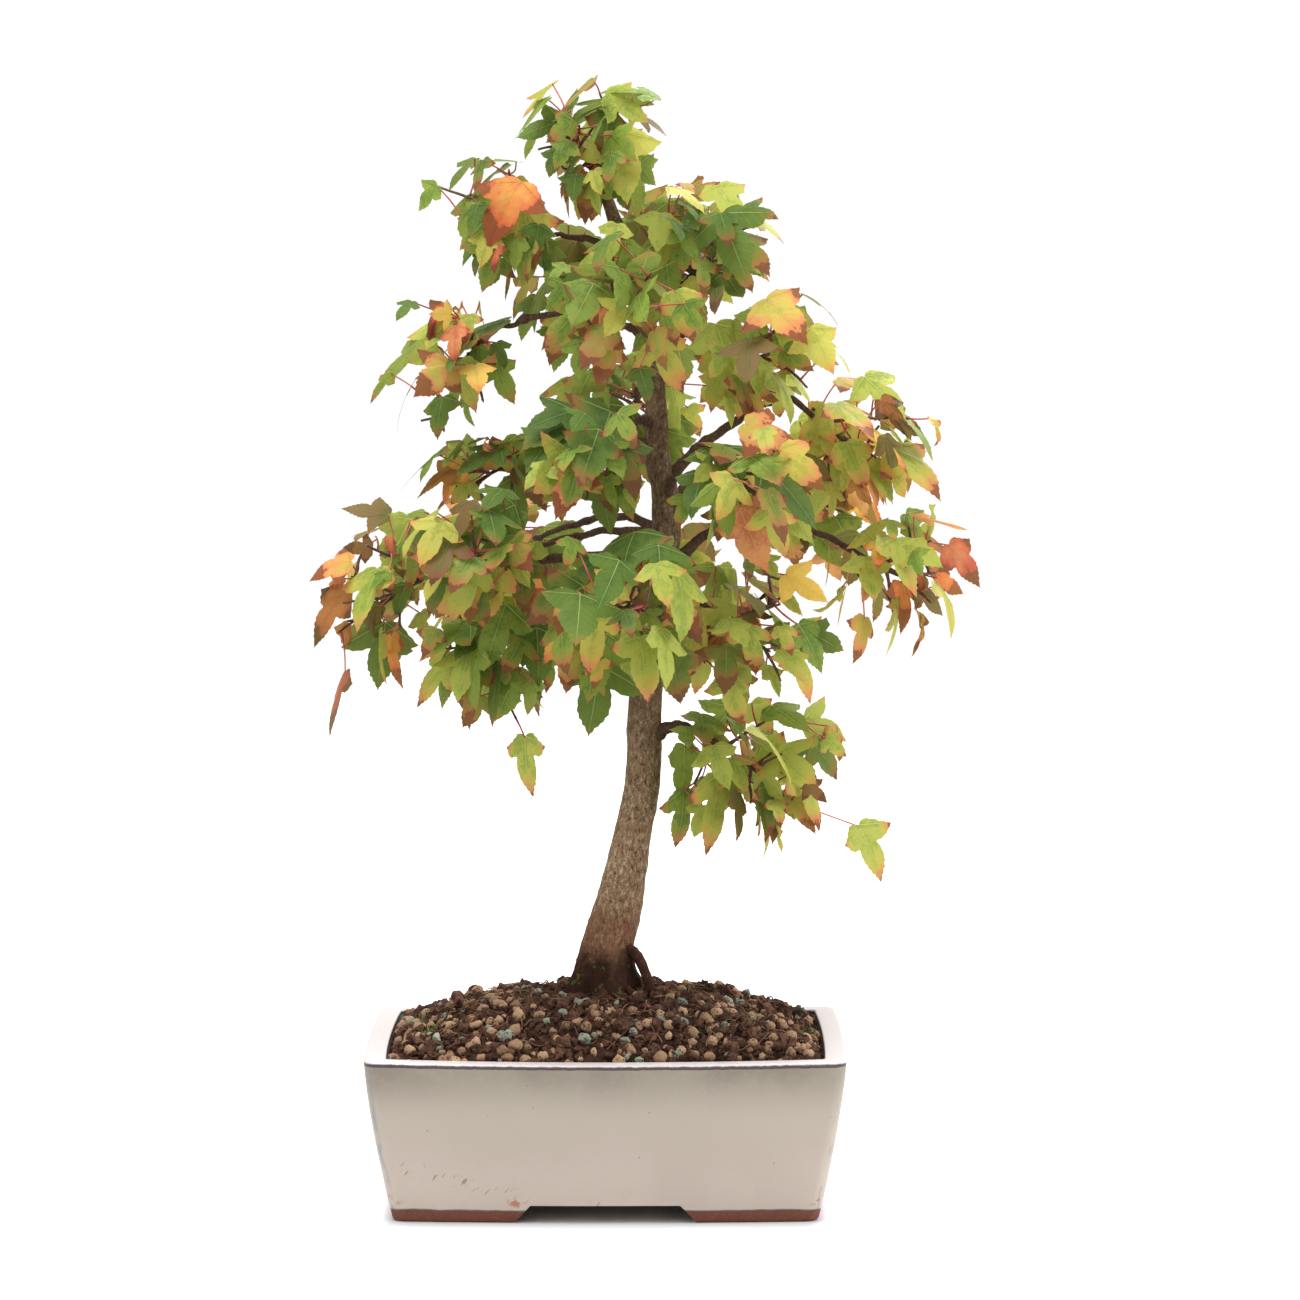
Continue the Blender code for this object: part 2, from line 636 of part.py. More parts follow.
class Mass:
    """One mass of leaves: a stem from the limb's tip, twigs from the stem, leaves from the twigs."""

    def __init__(self, name, limb, limbs):
        self.plan = CROWN[name]
        self.rng = random.Random(f"{SEED} mass {name}")
        self.space = Space(name)
        self.limbs = limbs
        self.middle = Vector(self.plan["middle"])
        self.rods = []  # start, end and the two radii of each piece of twig or stalk
        self.bearers = []  # start and end of each twig that a leaf or a side twig can grow from
        self.leaves = []  # base, heading, facing and length of each leaf
        self.blades = np.empty((0, 3))  # points over all the leaves so far
        self.grow(limb)

    def grow(self, limb):
        heading = (limb[-1] - limb[-2]).to_3d().normalized()
        root = limb[-1].to_3d() + heading * GAP
        thick = self.plan["thick"][1] * STEM_SHARE
        bend = root + heading * STEM_FOOT
        end = self.middle + (self.middle - root) * STEM_PAST_MIDDLE
        self.rods.append((root, bend + heading * STEM_LAP, thick, STEM_RADIUS[0]))
        self.rods.append((bend, end, *STEM_RADIUS))
        self.bearers.append((bend, end))
        for index in range(TWIGS):
            self.grow_twig(spiral(index, TWIGS))
        for tip in self.plan["tips"]:
            self.grow_leaf(lambda length: self.at_tip(Vector(tip), length), TIP_LEAF_LENGTH, False)
        others = self.plan["leaves"] - len(self.plan["tips"])
        for index in range(others):
            way = spiral(index, others)
            self.grow_leaf(lambda length: self.at_large(way, length), LEAF_LENGTH)

    def twig(self, start, end):
        """Adds a twig, or returns False where it would meet a limb or a border."""
        spots = along(start, end)
        if not self.space.holds(spots, False) or not self.limbs.clear_of(spots, LIMB_ROOM):
            return False
        if near(self.blades, spots, BLADE_ROOM):
            return False
        self.rods.append((start, end, *TWIG_RADIUS))
        self.bearers.append((start, end))
        return True

    def bearer_spot(self, base):
        """The nearest place on a twig that a stalk to this leaf can grow from."""
        best = None
        for start, end in self.bearers:
            run = end - start
            share = (base - start).dot(run) / run.length_squared - STALK_LEAN
            spot = start.lerp(end, min(max(share, 0.25), 0.96))
            if best is None or (spot - base).length < (best - base).length:
                best = spot
        return best

    def grow_twig(self, direction):
        """A twig from the stem towards the given side of the space."""
        for _ in range(LEAF_TRIES):
            way = (direction + unit(self.rng) * WANDER).normalized()
            end = self.middle + scaled(way, self.plan["reach"]) * self.rng.uniform(*TWIG_REACH)
            near_end, far_end = self.bearers[0]
            run = far_end - near_end
            share = min(max((end - near_end).dot(run) / run.length_squared - TWIG_LEAN, 0.15), 0.9)
            if self.twig(near_end.lerp(far_end, share), end):
                return

    def hang(self, spot, aside):
        """How a leaf at this spot hangs: point down and outward, with its face turned out."""
        rng = self.rng
        outward = Vector((spot.x - CROWN_MIDDLE_X, spot.y, 0.0)).normalized()
        out, away, down, stray = LEAF_HANG
        heading = outward * out + aside * away + Vector((0.0, 0.0, -down)) + unit(rng) * stray
        out, fore_and_aft, up, stray = LEAF_FACING
        fore_and_aft = math.copysign(fore_and_aft, spot.y - CROWN_MIDDLE_Y)
        facing = outward * out + Vector((0.0, fore_and_aft, up)) + unit(rng) * stray
        return heading.normalized(), facing

    def at_tip(self, tip, length):
        """A leaf whose point is this tip of the crown."""
        heading, facing = self.hang(tip, (tip - self.middle).normalized() * 1.6)
        turn, _ = leaf_frame(tip, heading, facing)
        return tip - turn @ (Vector((1.0, 0.0, -LEAF_DROOP)) * length), heading, facing

    def at_large(self, way, length):
        """A leaf on the given side of the space, somewhere between its middle and its reach."""
        way = (way + unit(self.rng) * WANDER).normalized()
        blade = self.middle + scaled(way, self.plan["reach"]) * self.rng.uniform(*LEAF_REACH)
        heading, facing = self.hang(blade, way)
        return blade - heading * length * MIDDLE_OF_LEAF, heading, facing

    def meets_twig(self, points):
        return any(near(points, along(start, end), BLADE_ROOM) for start, end, _, _ in self.rods)

    def grow_leaf(self, place, lengths, within_reach=True):
        """Tries places for a leaf until it fits in with its stalk, and with a side twig if it needs one."""
        for _ in range(LEAF_TRIES):
            length = self.rng.uniform(*lengths)
            base, heading, facing = place(length)
            points = leaf_points(base, heading, facing, length)
            if not self.space.holds(points, within_reach):
                continue
            if near(self.blades, points, BLADE_ROOM) or self.meets_twig(points):
                continue
            root = base + heading * length * STALK_SINK
            node = self.bearer_spot(base)
            spare = (base - node).length - self.rng.uniform(*STALK_LENGTH)
            side = node.lerp(base, spare / (base - node).length) if spare > STALK_LENGTH[0] else node
            stalk = along(side, root)
            fits = self.space.holds(stalk, False) and not near(self.blades, stalk, BLADE_ROOM)
            if not fits or not self.limbs.clear_of(np.vstack((points, stalk)), LIMB_ROOM):
                continue
            if side is not node and not self.twig(node, side):
                continue
            self.blades = np.vstack((self.blades, points))
            self.rods.append((side, root, STALK_RADIUS, 0.0))
            self.leaves.append((base, heading, facing, length))
            return


def rod_mesh(name, start, end, thick, thin):
    """A three-sided piece of twig or stalk."""
    way = (end - start).normalized()
    bm = bmesh.new()
    length = (end - start).length
    bmesh.ops.create_cone(bm, segments=3, cap_ends=True, radius1=thick, radius2=thin, depth=length)
    turn = Vector((0.0, 0.0, 1.0)).rotation_difference(way).to_matrix().to_4x4()
    place = Matrix.Translation((start + end) / 2)
    bmesh.ops.transform(bm, matrix=place @ turn, verts=bm.verts)
    return mesh_from(bm, name)


def leaf_mesh(name, base, heading, facing, length):
    """A flat ball of twelve faces, whose rim is drawn out to the three lobes."""
    bm = bmesh.new()
    bmesh.ops.create_uvsphere(bm, u_segments=6, v_segments=2, radius=1.0)
    for vertex in bm.verts:
        if abs(vertex.co.z) > 0.5:
            height = math.copysign(LEAF_THICKNESS / 2, vertex.co.z)
            vertex.co = Vector((MIDDLE_OF_LEAF, 0.0, height))
            continue
        sixth = round(math.atan2(vertex.co.y, vertex.co.x) / (math.pi / 3)) % 6
        x, y = LEAF_OUTLINE[sixth]
        hanging = sixth % 2 == 0
        vertex.co = Vector((x, y, -LEAF_DROOP if hanging else 0.0))
    turn, place = leaf_frame(base, heading, facing)
    bmesh.ops.scale(bm, vec=(length, length, length), verts=bm.verts)
    bmesh.ops.transform(bm, matrix=Matrix.Translation(place) @ turn, verts=bm.verts)
    return mesh_from(bm, name)


def keep_one_shell(mesh):
    """Fills a hollow that the joining sealed, and drops a scrap that nothing holds."""
    bm = bmesh.new()
    bm.from_mesh(mesh)
    left = set(bm.faces)
    shells = []
    while left:
        shell = {left.pop()}
        front = list(shell)
        while front:
            face = front.pop()
            beside = {other for edge in face.edges for other in edge.link_faces} & left
            left -= beside
            shell |= beside
            front += beside
        shells.append(list(shell))
    kept = max(shells, key=len)
    spare = [face for shell in shells if shell is not kept for face in shell]
    bmesh.ops.delete(bm, geom=spare, context="FACES")
    bm.to_mesh(mesh)
    bm.free()


def join_mass(name, mass, group, carrier):
    """Joins the stem, twigs, stalks and leaves of a mass into one solid."""
    pieces = bpy.data.collections.new(f"{name}_pieces")
    bpy.context.scene.collection.children.link(pieces)
    for index, rod in enumerate(mass.rods[1:]):
        add_piece(f"rod_{index}", rod_mesh(f"rod_{index}", *rod), pieces)
    for index, leaf in enumerate(mass.leaves):
        add_piece(f"leaf_{index}", leaf_mesh(f"leaf_{index}", *leaf), pieces)
    stem = add_piece(name, rod_mesh(name, *mass.rods[0]), group)
    union = stem.modifiers.new("join", "BOOLEAN")
    union.operation = "UNION"
    union.operand_type = "COLLECTION"
    union.collection = pieces
    union.solver = "MANIFOLD"
    graph = bpy.context.evaluated_depsgraph_get()
    mesh = bpy.data.meshes.new_from_object(stem.evaluated_get(graph))
    bpy.data.objects.remove(stem)
    for obj in list(pieces.objects):
        bpy.data.objects.remove(obj)
    bpy.data.collections.remove(pieces)
    keep_one_shell(mesh)
    add_piece(name, mesh, group, carrier, "leaf")


def make_foliage(paths, group, carrier):
    limbs = Limbs(paths)
    for name in CROWN:
        mass = Mass(name, paths.get(name, paths["trunk"]), limbs)
        join_mass(f"foliage_{name}", mass, group, carrier)


def build():
    clear_scene()
    group = new_collection("trident_maple")
    cutters = new_collection("cutters", hidden=True)
    carrier = bpy.data.objects.new("maple", None)
    group.objects.link(carrier)
    carrier.location = BOX_SHIFT * MM
    make_pot(group, cutters, carrier)
    make_soil(group, carrier)
    paths = make_limbs(group, cutters, carrier)
    make_foliage(paths, group, carrier)


build()
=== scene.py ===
# A bonsai trident maple in its oblong glazed pot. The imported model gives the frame: the pieces
# made here keep to its sizes and dress it with bark, twigs, leaves, glaze and soil.
import math
import random

import bmesh
import bpy
import numpy as np
from mathutils import Matrix, Vector, noise


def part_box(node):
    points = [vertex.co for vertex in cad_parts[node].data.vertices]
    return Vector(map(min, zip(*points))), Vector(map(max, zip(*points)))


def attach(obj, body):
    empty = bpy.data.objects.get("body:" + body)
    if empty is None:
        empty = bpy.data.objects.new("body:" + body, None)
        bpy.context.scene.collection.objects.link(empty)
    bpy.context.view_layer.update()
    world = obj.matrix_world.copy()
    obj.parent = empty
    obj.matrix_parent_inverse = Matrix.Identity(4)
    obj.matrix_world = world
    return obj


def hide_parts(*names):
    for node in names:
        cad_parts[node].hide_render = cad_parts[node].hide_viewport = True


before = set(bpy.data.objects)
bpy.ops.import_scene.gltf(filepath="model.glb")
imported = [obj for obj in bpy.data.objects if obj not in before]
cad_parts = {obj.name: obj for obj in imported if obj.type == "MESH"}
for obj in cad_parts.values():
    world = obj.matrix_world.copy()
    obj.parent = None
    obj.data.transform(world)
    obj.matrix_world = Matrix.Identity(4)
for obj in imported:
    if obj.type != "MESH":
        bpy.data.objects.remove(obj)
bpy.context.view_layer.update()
potLow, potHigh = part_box("pot")
mm = 0.001
# Places below count from the middle of the pot's foot.
potMiddle = Vector(((potLow.x + potHigh.x) / 2, (potLow.y + potHigh.y) / 2, potLow.z))
scene = bpy.context.scene
print("Frame loaded:", len(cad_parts), "nodes")


# Camera, floor and light

view = dict(
    photoWidth=1300,
    focalPixels=4597,
    pitch=5.32,  # degrees down
    place=(22.0, -2305.0, 492.0),  # mm from the middle of the pot's foot
)
studio = dict(
    floorSize=9.0,
    floorColour=(206, 206, 208),
    floorRoughness=0.9,
    floorGlow=0.62,  # added for the camera alone, so that the floor shows white
    shadowFrom=(104.0, 67.0),  # half width and half depth of the shaded floor, mm
    shadowFade=(12.0, 44.0),
    worldColour=(255, 255, 255),
    worldLight=0.58,  # what lights the tree
    worldShown=1.05,  # what the camera sees
    lamps=(  # place and target in metres, width, watts
        ("top", (-0.35, -0.2, 2.1), (0.0, 0.0, 0.25), 1.5, 48.0),
        ("left", (-1.8, -1.2, 1.3), (0.0, 0.0, 0.3), 1.1, 11.0),
        ("right", (1.9, -0.3, 1.0), (0.1, 0.0, 0.3), 1.1, 28.0),
        ("back", (0.8, 1.7, 1.5), (0.0, 0.0, 0.35), 1.3, 40.0),
    ),
)


def fromSrgb(colour):  # a colour as a screen shows it, 0 to 255, to the linear value that shaders take
    shares = [channel / 255 for channel in colour]
    return (*[c / 12.92 if c <= 0.04045 else ((c + 0.055) / 1.055) ** 2.4 for c in shares], 1.0)


def makeCamera():
    data = bpy.data.cameras.new("camera")
    data.sensor_width = 36.0
    data.lens = view["focalPixels"] / view["photoWidth"] * data.sensor_width
    data.clip_end = 50.0
    camera = bpy.data.objects.new("camera", data)
    camera.location = potMiddle + Vector(view["place"]) * mm
    camera.rotation_euler = (math.radians(90.0 - view["pitch"]), 0.0, 0.0)
    scene.collection.objects.link(camera)
    scene.camera = camera


def cameraRays(tree):  # 1 for what the camera sees, 0 for what lights the tree
    return tree.nodes.new("ShaderNodeLightPath").outputs["Is Camera Ray"]


def makeWorld():
    world = bpy.data.worlds.new("studio")
    world.use_nodes = True
    seen = cameraRays(world.node_tree)
    strength = addNode("ShaderNodeMapRange", seen)
    for name, value in (("Value", seen), ("To Min", studio["worldLight"]), ("To Max", studio["worldShown"])):
        plug(strength.inputs[name], value)
    backdrop = world.node_tree.nodes["Background"].inputs
    plug(backdrop["Color"], fromSrgb(studio["worldColour"]))
    plug(backdrop["Strength"], strength.outputs[0])
    scene.world = world
    scene.view_settings.view_transform = "Standard"


def makeLamps():
    for name, place, target, size, watts in studio["lamps"]:
        data = bpy.data.lights.new(name, "AREA")
        data.shape, data.size, data.energy = "DISK", size, watts
        light = bpy.data.objects.new(name, data)
        light.location = place
        light.rotation_euler = (Vector(target) - Vector(place)).to_track_quat("-Z", "Y").to_euler()
        scene.collection.objects.link(light)


def makeFloor():
    bpy.ops.mesh.primitive_plane_add(size=studio["floorSize"], location=(0.0, 0.0, 0.0))
    floor = bpy.context.object
    floor.name = "studio_floor"
    material, place = newMaterial("studioFloor", studio["floorRoughness"])
    surface = shaderOf(material).inputs
    plug(surface["Base Color"], fromSrgb(studio["floorColour"]))
    plug(surface["Emission Color"], (1.0, 1.0, 1.0, 1.0))
    axes = split(place)
    fades = []
    for axis, (start, fade) in enumerate(zip(studio["shadowFrom"], studio["shadowFade"])):
        away = apart(axes[axis], potMiddle[axis])
        fades.append(rise(away, start * mm, (start + fade) * mm))
    glow = times(cameraRays(material.node_tree), studio["floorGlow"])
    plug(surface["Emission Strength"], times(glow, calc("MAXIMUM", *fades)))
    floor.data.materials.append(material)


# Shader tools


def plug(socket, value):
    if isinstance(value, bpy.types.NodeSocket):
        socket.id_data.links.new(value, socket)
    else:
        socket.default_value = value


def addNode(kind, *values):  # a node in the tree that the values come from
    tree = next(value.id_data for value in values if isinstance(value, bpy.types.NodeSocket))
    return tree.nodes.new(kind)


def calc(operation, *values):
    node = addNode("ShaderNodeMath", *values)
    node.operation = operation
    for socket, value in zip(node.inputs, values):
        plug(socket, value)
    return node.outputs[0]


def times(first, second, more=None):  # first by second, and more added
    if more is None:
        return calc("MULTIPLY", first, second)
    return calc("MULTIPLY_ADD", first, second, more)


def apart(first, second):
    return calc("ABSOLUTE", calc("SUBTRACT", first, second))


def rise(value, low, high):  # a smooth step from 0 at low to 1 at high, either way round
    node = addNode("ShaderNodeMapRange", value)
    node.interpolation_type = "SMOOTHSTEP"
    for name, given in (("Value", value), ("From Min", low), ("From Max", high)):
        plug(node.inputs[name], given)
    return node.outputs[0]


def mixColours(share, first, second):
    node = addNode("ShaderNodeMix", share, first, second)
    node.data_type = "RGBA"
    plug(node.inputs[0], share)
    for socket, colour in ((node.inputs[6], first), (node.inputs[7], second)):
        plug(socket, fromSrgb(colour) if isinstance(colour, tuple) else colour)
    return node.outputs[2]


def layer(base, colour, mask, share):  # a colour laid over the base where the mask is
    return mixColours(times(mask, share), base, colour)


def speckle(place, scale, detail=3.0, roughness=0.55, stretch=None):
    if stretch:
        mapping = addNode("ShaderNodeMapping", place)
        plug(mapping.inputs["Vector"], place)
        plug(mapping.inputs["Scale"], stretch)
        place = mapping.outputs[0]
    node = addNode("ShaderNodeTexNoise", place)
    for name, value in dict(Vector=place, Scale=scale, Detail=detail, Roughness=roughness).items():
        plug(node.inputs[name], value)
    return node.outputs[0]


def cells(place, scale):  # how far the nearest cell's middle is
    node = addNode("ShaderNodeTexVoronoi", place)
    plug(node.inputs["Vector"], place)
    plug(node.inputs["Scale"], scale)
    return node.outputs["Distance"]


def split(vector):
    node = addNode("ShaderNodeSeparateXYZ", vector)
    plug(node.inputs[0], vector)
    return node.outputs


def mapPlace(place, name):  # the map's place, in the tree that the object's place comes from
    node = addNode("ShaderNodeUVMap", place)
    node.uv_map = name
    return node.outputs[0]


def newGroup(name, vectors, numbers, results):  # the names of its sockets, the results all numbers
    group = bpy.data.node_groups.new(name, "ShaderNodeTree")
    sockets = [(one, "INPUT", "Vector") for one in vectors] + [(one, "INPUT", "Float") for one in numbers]
    for one, way, kind in sockets + [(one, "OUTPUT", "Float") for one in results]:
        group.interface.new_socket(one, in_out=way, socket_type=f"NodeSocket{kind}")
    return group, group.nodes.new("NodeGroupInput").outputs, group.nodes.new("NodeGroupOutput").inputs


def useGroup(group, **values):
    node = addNode("ShaderNodeGroup", *values.values())
    node.node_tree = group
    for name, value in values.items():
        plug(node.inputs[name], value)
    return node.outputs


def shaderOf(material):
    return material.node_tree.nodes["Principled BSDF"]


def newMaterial(name, roughness, specular=0.5):  # the material, and the place on the object
    material = bpy.data.materials.new(name)
    material.use_nodes = True
    plug(shaderOf(material).inputs["Roughness"], roughness)
    plug(shaderOf(material).inputs["Specular IOR Level"], specular)
    return material, material.node_tree.nodes.new("ShaderNodeTexCoord").outputs["Object"]


def finish(material, colour, height, depth):  # the colour, and a relief with its depth in mm
    plug(shaderOf(material).inputs["Base Color"], colour)
    bump = addNode("ShaderNodeBump", height)
    plug(bump.inputs["Strength"], 1.0)
    plug(bump.inputs["Distance"], depth * mm)
    plug(bump.inputs["Height"], height)
    plug(shaderOf(material).inputs["Normal"], bump.outputs[0])
    return material


makeCamera()
makeWorld()
makeLamps()
makeFloor()
print("Camera and studio set")


# Mesh tools


class Gather:  # collects the points and faces of many small shapes into one mesh
    def __init__(self):
        self.points = []
        self.faces = []
        self.kinds = []
        self.maps = {}
        self.count = 0

    def add(self, points, faces, kind=0, **maps):
        for group in faces:
            self.faces.append(np.asarray(group) + self.count)
            self.kinds.append(np.broadcast_to(kind, len(group)))
        for name, values in maps.items():
            self.maps.setdefault(name, []).append(values)
        self.points.append(points)
        self.count += len(points)

    def addTube(self, line, sides, kind=0):
        points, _, faces = tube(line, sides)
        self.add(points, faces, kind)

    def build(self, name, materials, smooth=True):
        mesh = bpy.data.meshes.new(name)
        points = np.vstack(self.points) * mm + np.array(potMiddle)
        corners = np.concatenate([group.ravel() for group in self.faces])
        sizes = np.concatenate([np.full(len(group), group.shape[1]) for group in self.faces])
        mesh.vertices.add(len(points))
        mesh.vertices.foreach_set("co", points.astype(np.float32).ravel())
        mesh.loops.add(len(corners))
        mesh.loops.foreach_set("vertex_index", corners.astype(np.int32))
        mesh.polygons.add(len(sizes))
        starts = np.concatenate(([0], np.cumsum(sizes)[:-1]))
        mesh.polygons.foreach_set("loop_start", starts.astype(np.int32))
        mesh.polygons.foreach_set("material_index", np.concatenate(self.kinds).astype(np.int32))
        mesh.polygons.foreach_set("use_smooth", np.full(len(sizes), smooth))
        for mapName, values in self.maps.items():
            flat = np.vstack(values)[corners].astype(np.float32)
            mesh.uv_layers.new(name=mapName).data.foreach_set("uv", flat.ravel())
        mesh.update(calc_edges=True)
        mesh.validate()
        for material in materials:
            mesh.materials.append(material)
        piece = bpy.data.objects.new(name, mesh)
        scene.collection.objects.link(piece)
        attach(piece, "root")
        print(f"  {name}: {(sizes - 2).sum()} triangles")
        return piece


def crossNoise(points, size, seed, layers=3):  # noise of about -1 to 1, with features of the given size
    shift = Vector((seed * 7.3, seed * 3.1, seed * 5.7))
    scale = 1.0 / size
    return np.array([noise.fractal(Vector(point) * scale + shift, 0.9, 2.1, layers) for point in points])


def throughPoints(a, b, c, d, t):  # a smooth curve's place between b and c
    return (b * 2 + (c - a) * t + (a * 2 - b * 5 + c * 4 - d) * t**2 + (b * 3 - a - c * 3 + d) * t**3) / 2


def lengthsAlong(line):
    return np.concatenate(([0.0], np.cumsum(np.linalg.norm(np.diff(line, axis=0), axis=1))))


def smoothLine(stations, count):  # a smooth line through the stations, any number of columns
    rows = np.asarray(stations, float)
    rows = np.vstack((rows[0] * 2 - rows[1], rows, rows[-1] * 2 - rows[-2]))
    place = np.linspace(0.0, len(rows) - 3 - 1e-6, count)
    span = place.astype(int)
    return throughPoints(*(rows[span + step] for step in range(4)), (place - span)[:, None])


def ringFaces(rows, count):  # quads between neighbouring rings
    ring, turn = np.meshgrid(np.arange(rows - 1), np.arange(count), indexing="ij")
    here, there = (ring * count + turn).ravel(), (ring * count + (turn + 1) % count).ravel()
    return np.column_stack((here, there, there + count, here + count))


def fanFaces(middle, start, count):  # triangles from a middle point to the ring that starts there
    turns = np.arange(count)
    return np.column_stack((np.full(count, middle), start + turns, start + (turns + 1) % count))


def tube(line, sides):  # rings round a line of x, y, z and radius: points, outward ways and faces
    line = np.asarray(line, float)
    path, radii = line[:, :3], line[:, 3]
    ways = np.gradient(path, axis=0)
    ways /= np.linalg.norm(ways, axis=1)[:, None]
    side = np.cross(ways[0], (0.0, 1.0, 0.0) if abs(ways[0][1]) < 0.9 else (1.0, 0.0, 0.0))
    across = []
    for way in ways:
        side = side - way * (side @ way)
        side = side / np.linalg.norm(side)
        across.append(side)
    upward = np.cross(ways, across)[:, None]
    angles = (np.arange(sides) * 2 * math.pi / sides)[None, :, None]
    outward = np.array(across)[:, None] * np.cos(angles) + upward * np.sin(angles)
    rings = path[:, None] + outward * radii[:, None, None]
    points = np.vstack((rings.reshape(-1, 3), path[:1], path[-1:]))
    outward = np.vstack((outward.reshape(-1, 3), -ways[:1], ways[-1:]))
    count = len(path) * sides
    ends = (fanFaces(count, 0, sides)[:, [0, 2, 1]], fanFaces(count + 1, count - sides, sides))
    return points, outward, [ringFaces(len(path), sides), np.vstack(ends)]


# The growth rule: where each bough, twig, stalk and leaf is

trunkPlan = dict(
    stations=(  # x, y, z of the middle line, and the radius there
        (-2.4, 0.0, 92.0, 22.0),
        (-1.2, 0.0, 107.0, 18.2),
        (-0.2, 0.0, 125.0, 13.4),
        (6.6, 1.0, 150.0, 11.9),
        (12.5, 2.0, 180.0, 9.5),
        (18.5, 2.0, 212.0, 8.9),
        (19.5, 1.0, 250.0, 8.4),
        (24.5, 0.0, 290.0, 7.4),
        (30.5, -1.0, 344.0, 7.1),
        (25.5, 0.0, 378.0, 6.2),
        (25.0, 2.0, 410.0, 4.8),
        (22.0, 2.0, 437.0, 4.2),
        (8.0, 0.0, 482.0, 3.4),
        (-4.0, -1.0, 516.0, 2.3),
    ),
    rings=26,
    flareLobes=5,
    flareTurn=0.6,
    flareDepth=0.16,
    flareHeight=16.0,
    cut=105.3,  # height of the flat cut at the soil
)

# Each bough leaves the trunk at a height and carries one mass of leaves at its tip. The mass keeps
# to a space with a middle and a reach along X, Y and Z. Its tips are its furthest leaf points. All in
# mm: thick is the bough's radius at both ends, and leaves the number of the mass's main leaves.
massColumns = ("height", "tip", "arch", "thick", "leaves", "middle", "reach", "tips")
massRows = {
    "lower_right": (
        232, (48, -8, 236), 4, (4.3, 2.2), 14, (72, -14, 220), (52, 38, 48),
        ((141, -18, 161.2), (38, -20, 178), (68, -32, 181), (122, -6, 232), (50, -38, 232)),
    ),
    "right_low": (
        300, (44, -18, 304), 4, (3.0, 1.8), 14, (72, -30, 286), (46, 42, 52),
        ((107, -34, 254), (66, -44, 256)),
    ),
    "right_outer": (
        316, (110, 2, 335), 18, (3.6, 2.0), 11, (147, 0, 315), (42, 48, 46),
        ((188.4, -8, 309), (128, -12, 270), (153, -14, 286), (170, 16, 292)),
    ),
    "right_mid": (
        361, (92, 4, 404), 8, (3.4, 2.0), 15, (130, 0, 374), (44, 46, 44),
        ((167, -6, 374), (140, 4, 405)),
    ),
    "right_high": (
        431, (52, -8, 434), 3, (2.4, 1.6), 15, (80, -14, 424), (46, 42, 38),
        ((117, -12, 430),),
    ),
    "upper_right": (
        449, (40, -4, 462), 2, (2.8, 1.7), 14, (52, -6, 474), (46, 38, 36),
        ((64, -6, 508), (93, -6, 484)),
    ),
    "upper_left": (
        474, (-28, -2, 486), 3, (2.2, 1.6), 11, (-54, -4, 496), (38, 38, 42),
        ((-74, -8, 478), (-65, -6, 521)),
    ),
    "left_upper": (
        455, (-56, -6, 438), 2, (2.2, 1.6), 8, (-80, -10, 414), (38, 42, 42),
        ((-110, -8, 387), (-103, 2, 437)),
    ),
    "left_mid": (
        380, (-36, -4, 378), 5, (2.9, 1.8), 10, (-62, -8, 364), (40, 40, 28),
        ((-98, -12, 356),),
    ),
    "far_left": (
        328, (-88, 0, 317), 1, (3.6, 2.0), 11, (-114, -4, 300), (36, 44, 46),
        ((-152.9, -4, 316), (-140, -8, 233), (-104, -20, 258), (-134, 4, 349)),
    ),
    "left_low": (
        296, (-18, -20, 290), 6, (2.8, 1.8), 15, (-58, -28, 282), (42, 44, 42),
        ((-39, -34, 205), (-95, -20, 249)),
    ),
    "front_low": (
        290, (14, -40, 302), 6, (3.0, 1.8), 17, (8, -82, 304), (54, 52, 50),
        ((-8, -90, 243), (-12, -142.9, 292)),
    ),
    "front_left": (
        334, (-28, -34, 334), 4, (2.8, 1.8), 14, (-60, -66, 330), (42, 42, 36),
        ((-88, -92, 310),),
    ),
    "front_right": (
        352, (42, -34, 376), 5, (2.8, 1.8), 13, (68, -68, 364), (42, 42, 42),
        ((88, -92, 330),),
    ),
    "front_mid": (
        392, (2, -26, 388), 3, (2.2, 1.6), 15, (-8, -60, 374), (38, 38, 38),
        ((-18, -92, 354), (12, -86, 350)),
    ),
    "front_high": (
        440, (10, -22, 448), 2, (2.2, 1.6), 13, (12, -54, 446), (44, 38, 42),
        ((-4, -74, 412), (34, -62, 430)),
    ),
    "back_low": (
        304, (34, 42, 310), 6, (3.2, 1.8), 13, (36, 92, 296), (50, 50, 44),
        ((34, 142.9, 286), (60, 100, 256)),
    ),
    "back_left": (
        338, (-24, 44, 336), 6, (3.2, 1.8), 13, (-58, 84, 316), (50, 50, 44),
        ((-104, 92, 300), (-60, 132, 296)),
    ),
    "back_right": (
        350, (62, 38, 362), 6, (3.2, 1.8), 13, (100, 76, 350), (50, 48, 46),
        ((146, 84, 334), (104, 122, 324)),
    ),
    "back_mid": (
        402, (16, 34, 406), 4, (2.6, 1.7), 13, (14, 76, 396), (50, 46, 42),
        ((10, 120, 372),),
    ),
    "back_upper": (
        432, (-8, 24, 442), 3, (2.2, 1.6), 11, (-14, 60, 452), (36, 42, 36),
        ((-44, 68, 430),),
    ),
    "back_high": (
        452, (22, 20, 464), 2, (2.2, 1.6), 12, (34, 50, 474), (46, 38, 38),
        ((60, 80, 456),),
    ),
    "apex": (
        None, (-4.0, -1.0, 516.0), 0, (2.3, 2.3), 14, (-12, 0, 528), (46, 42, 38),
        ((-4, -4, 563.4), (22, -4, 540), (-48, -6, 532)),
    ),
}
crown = {name: dict(zip(massColumns, row)) for name, row in massRows.items()}

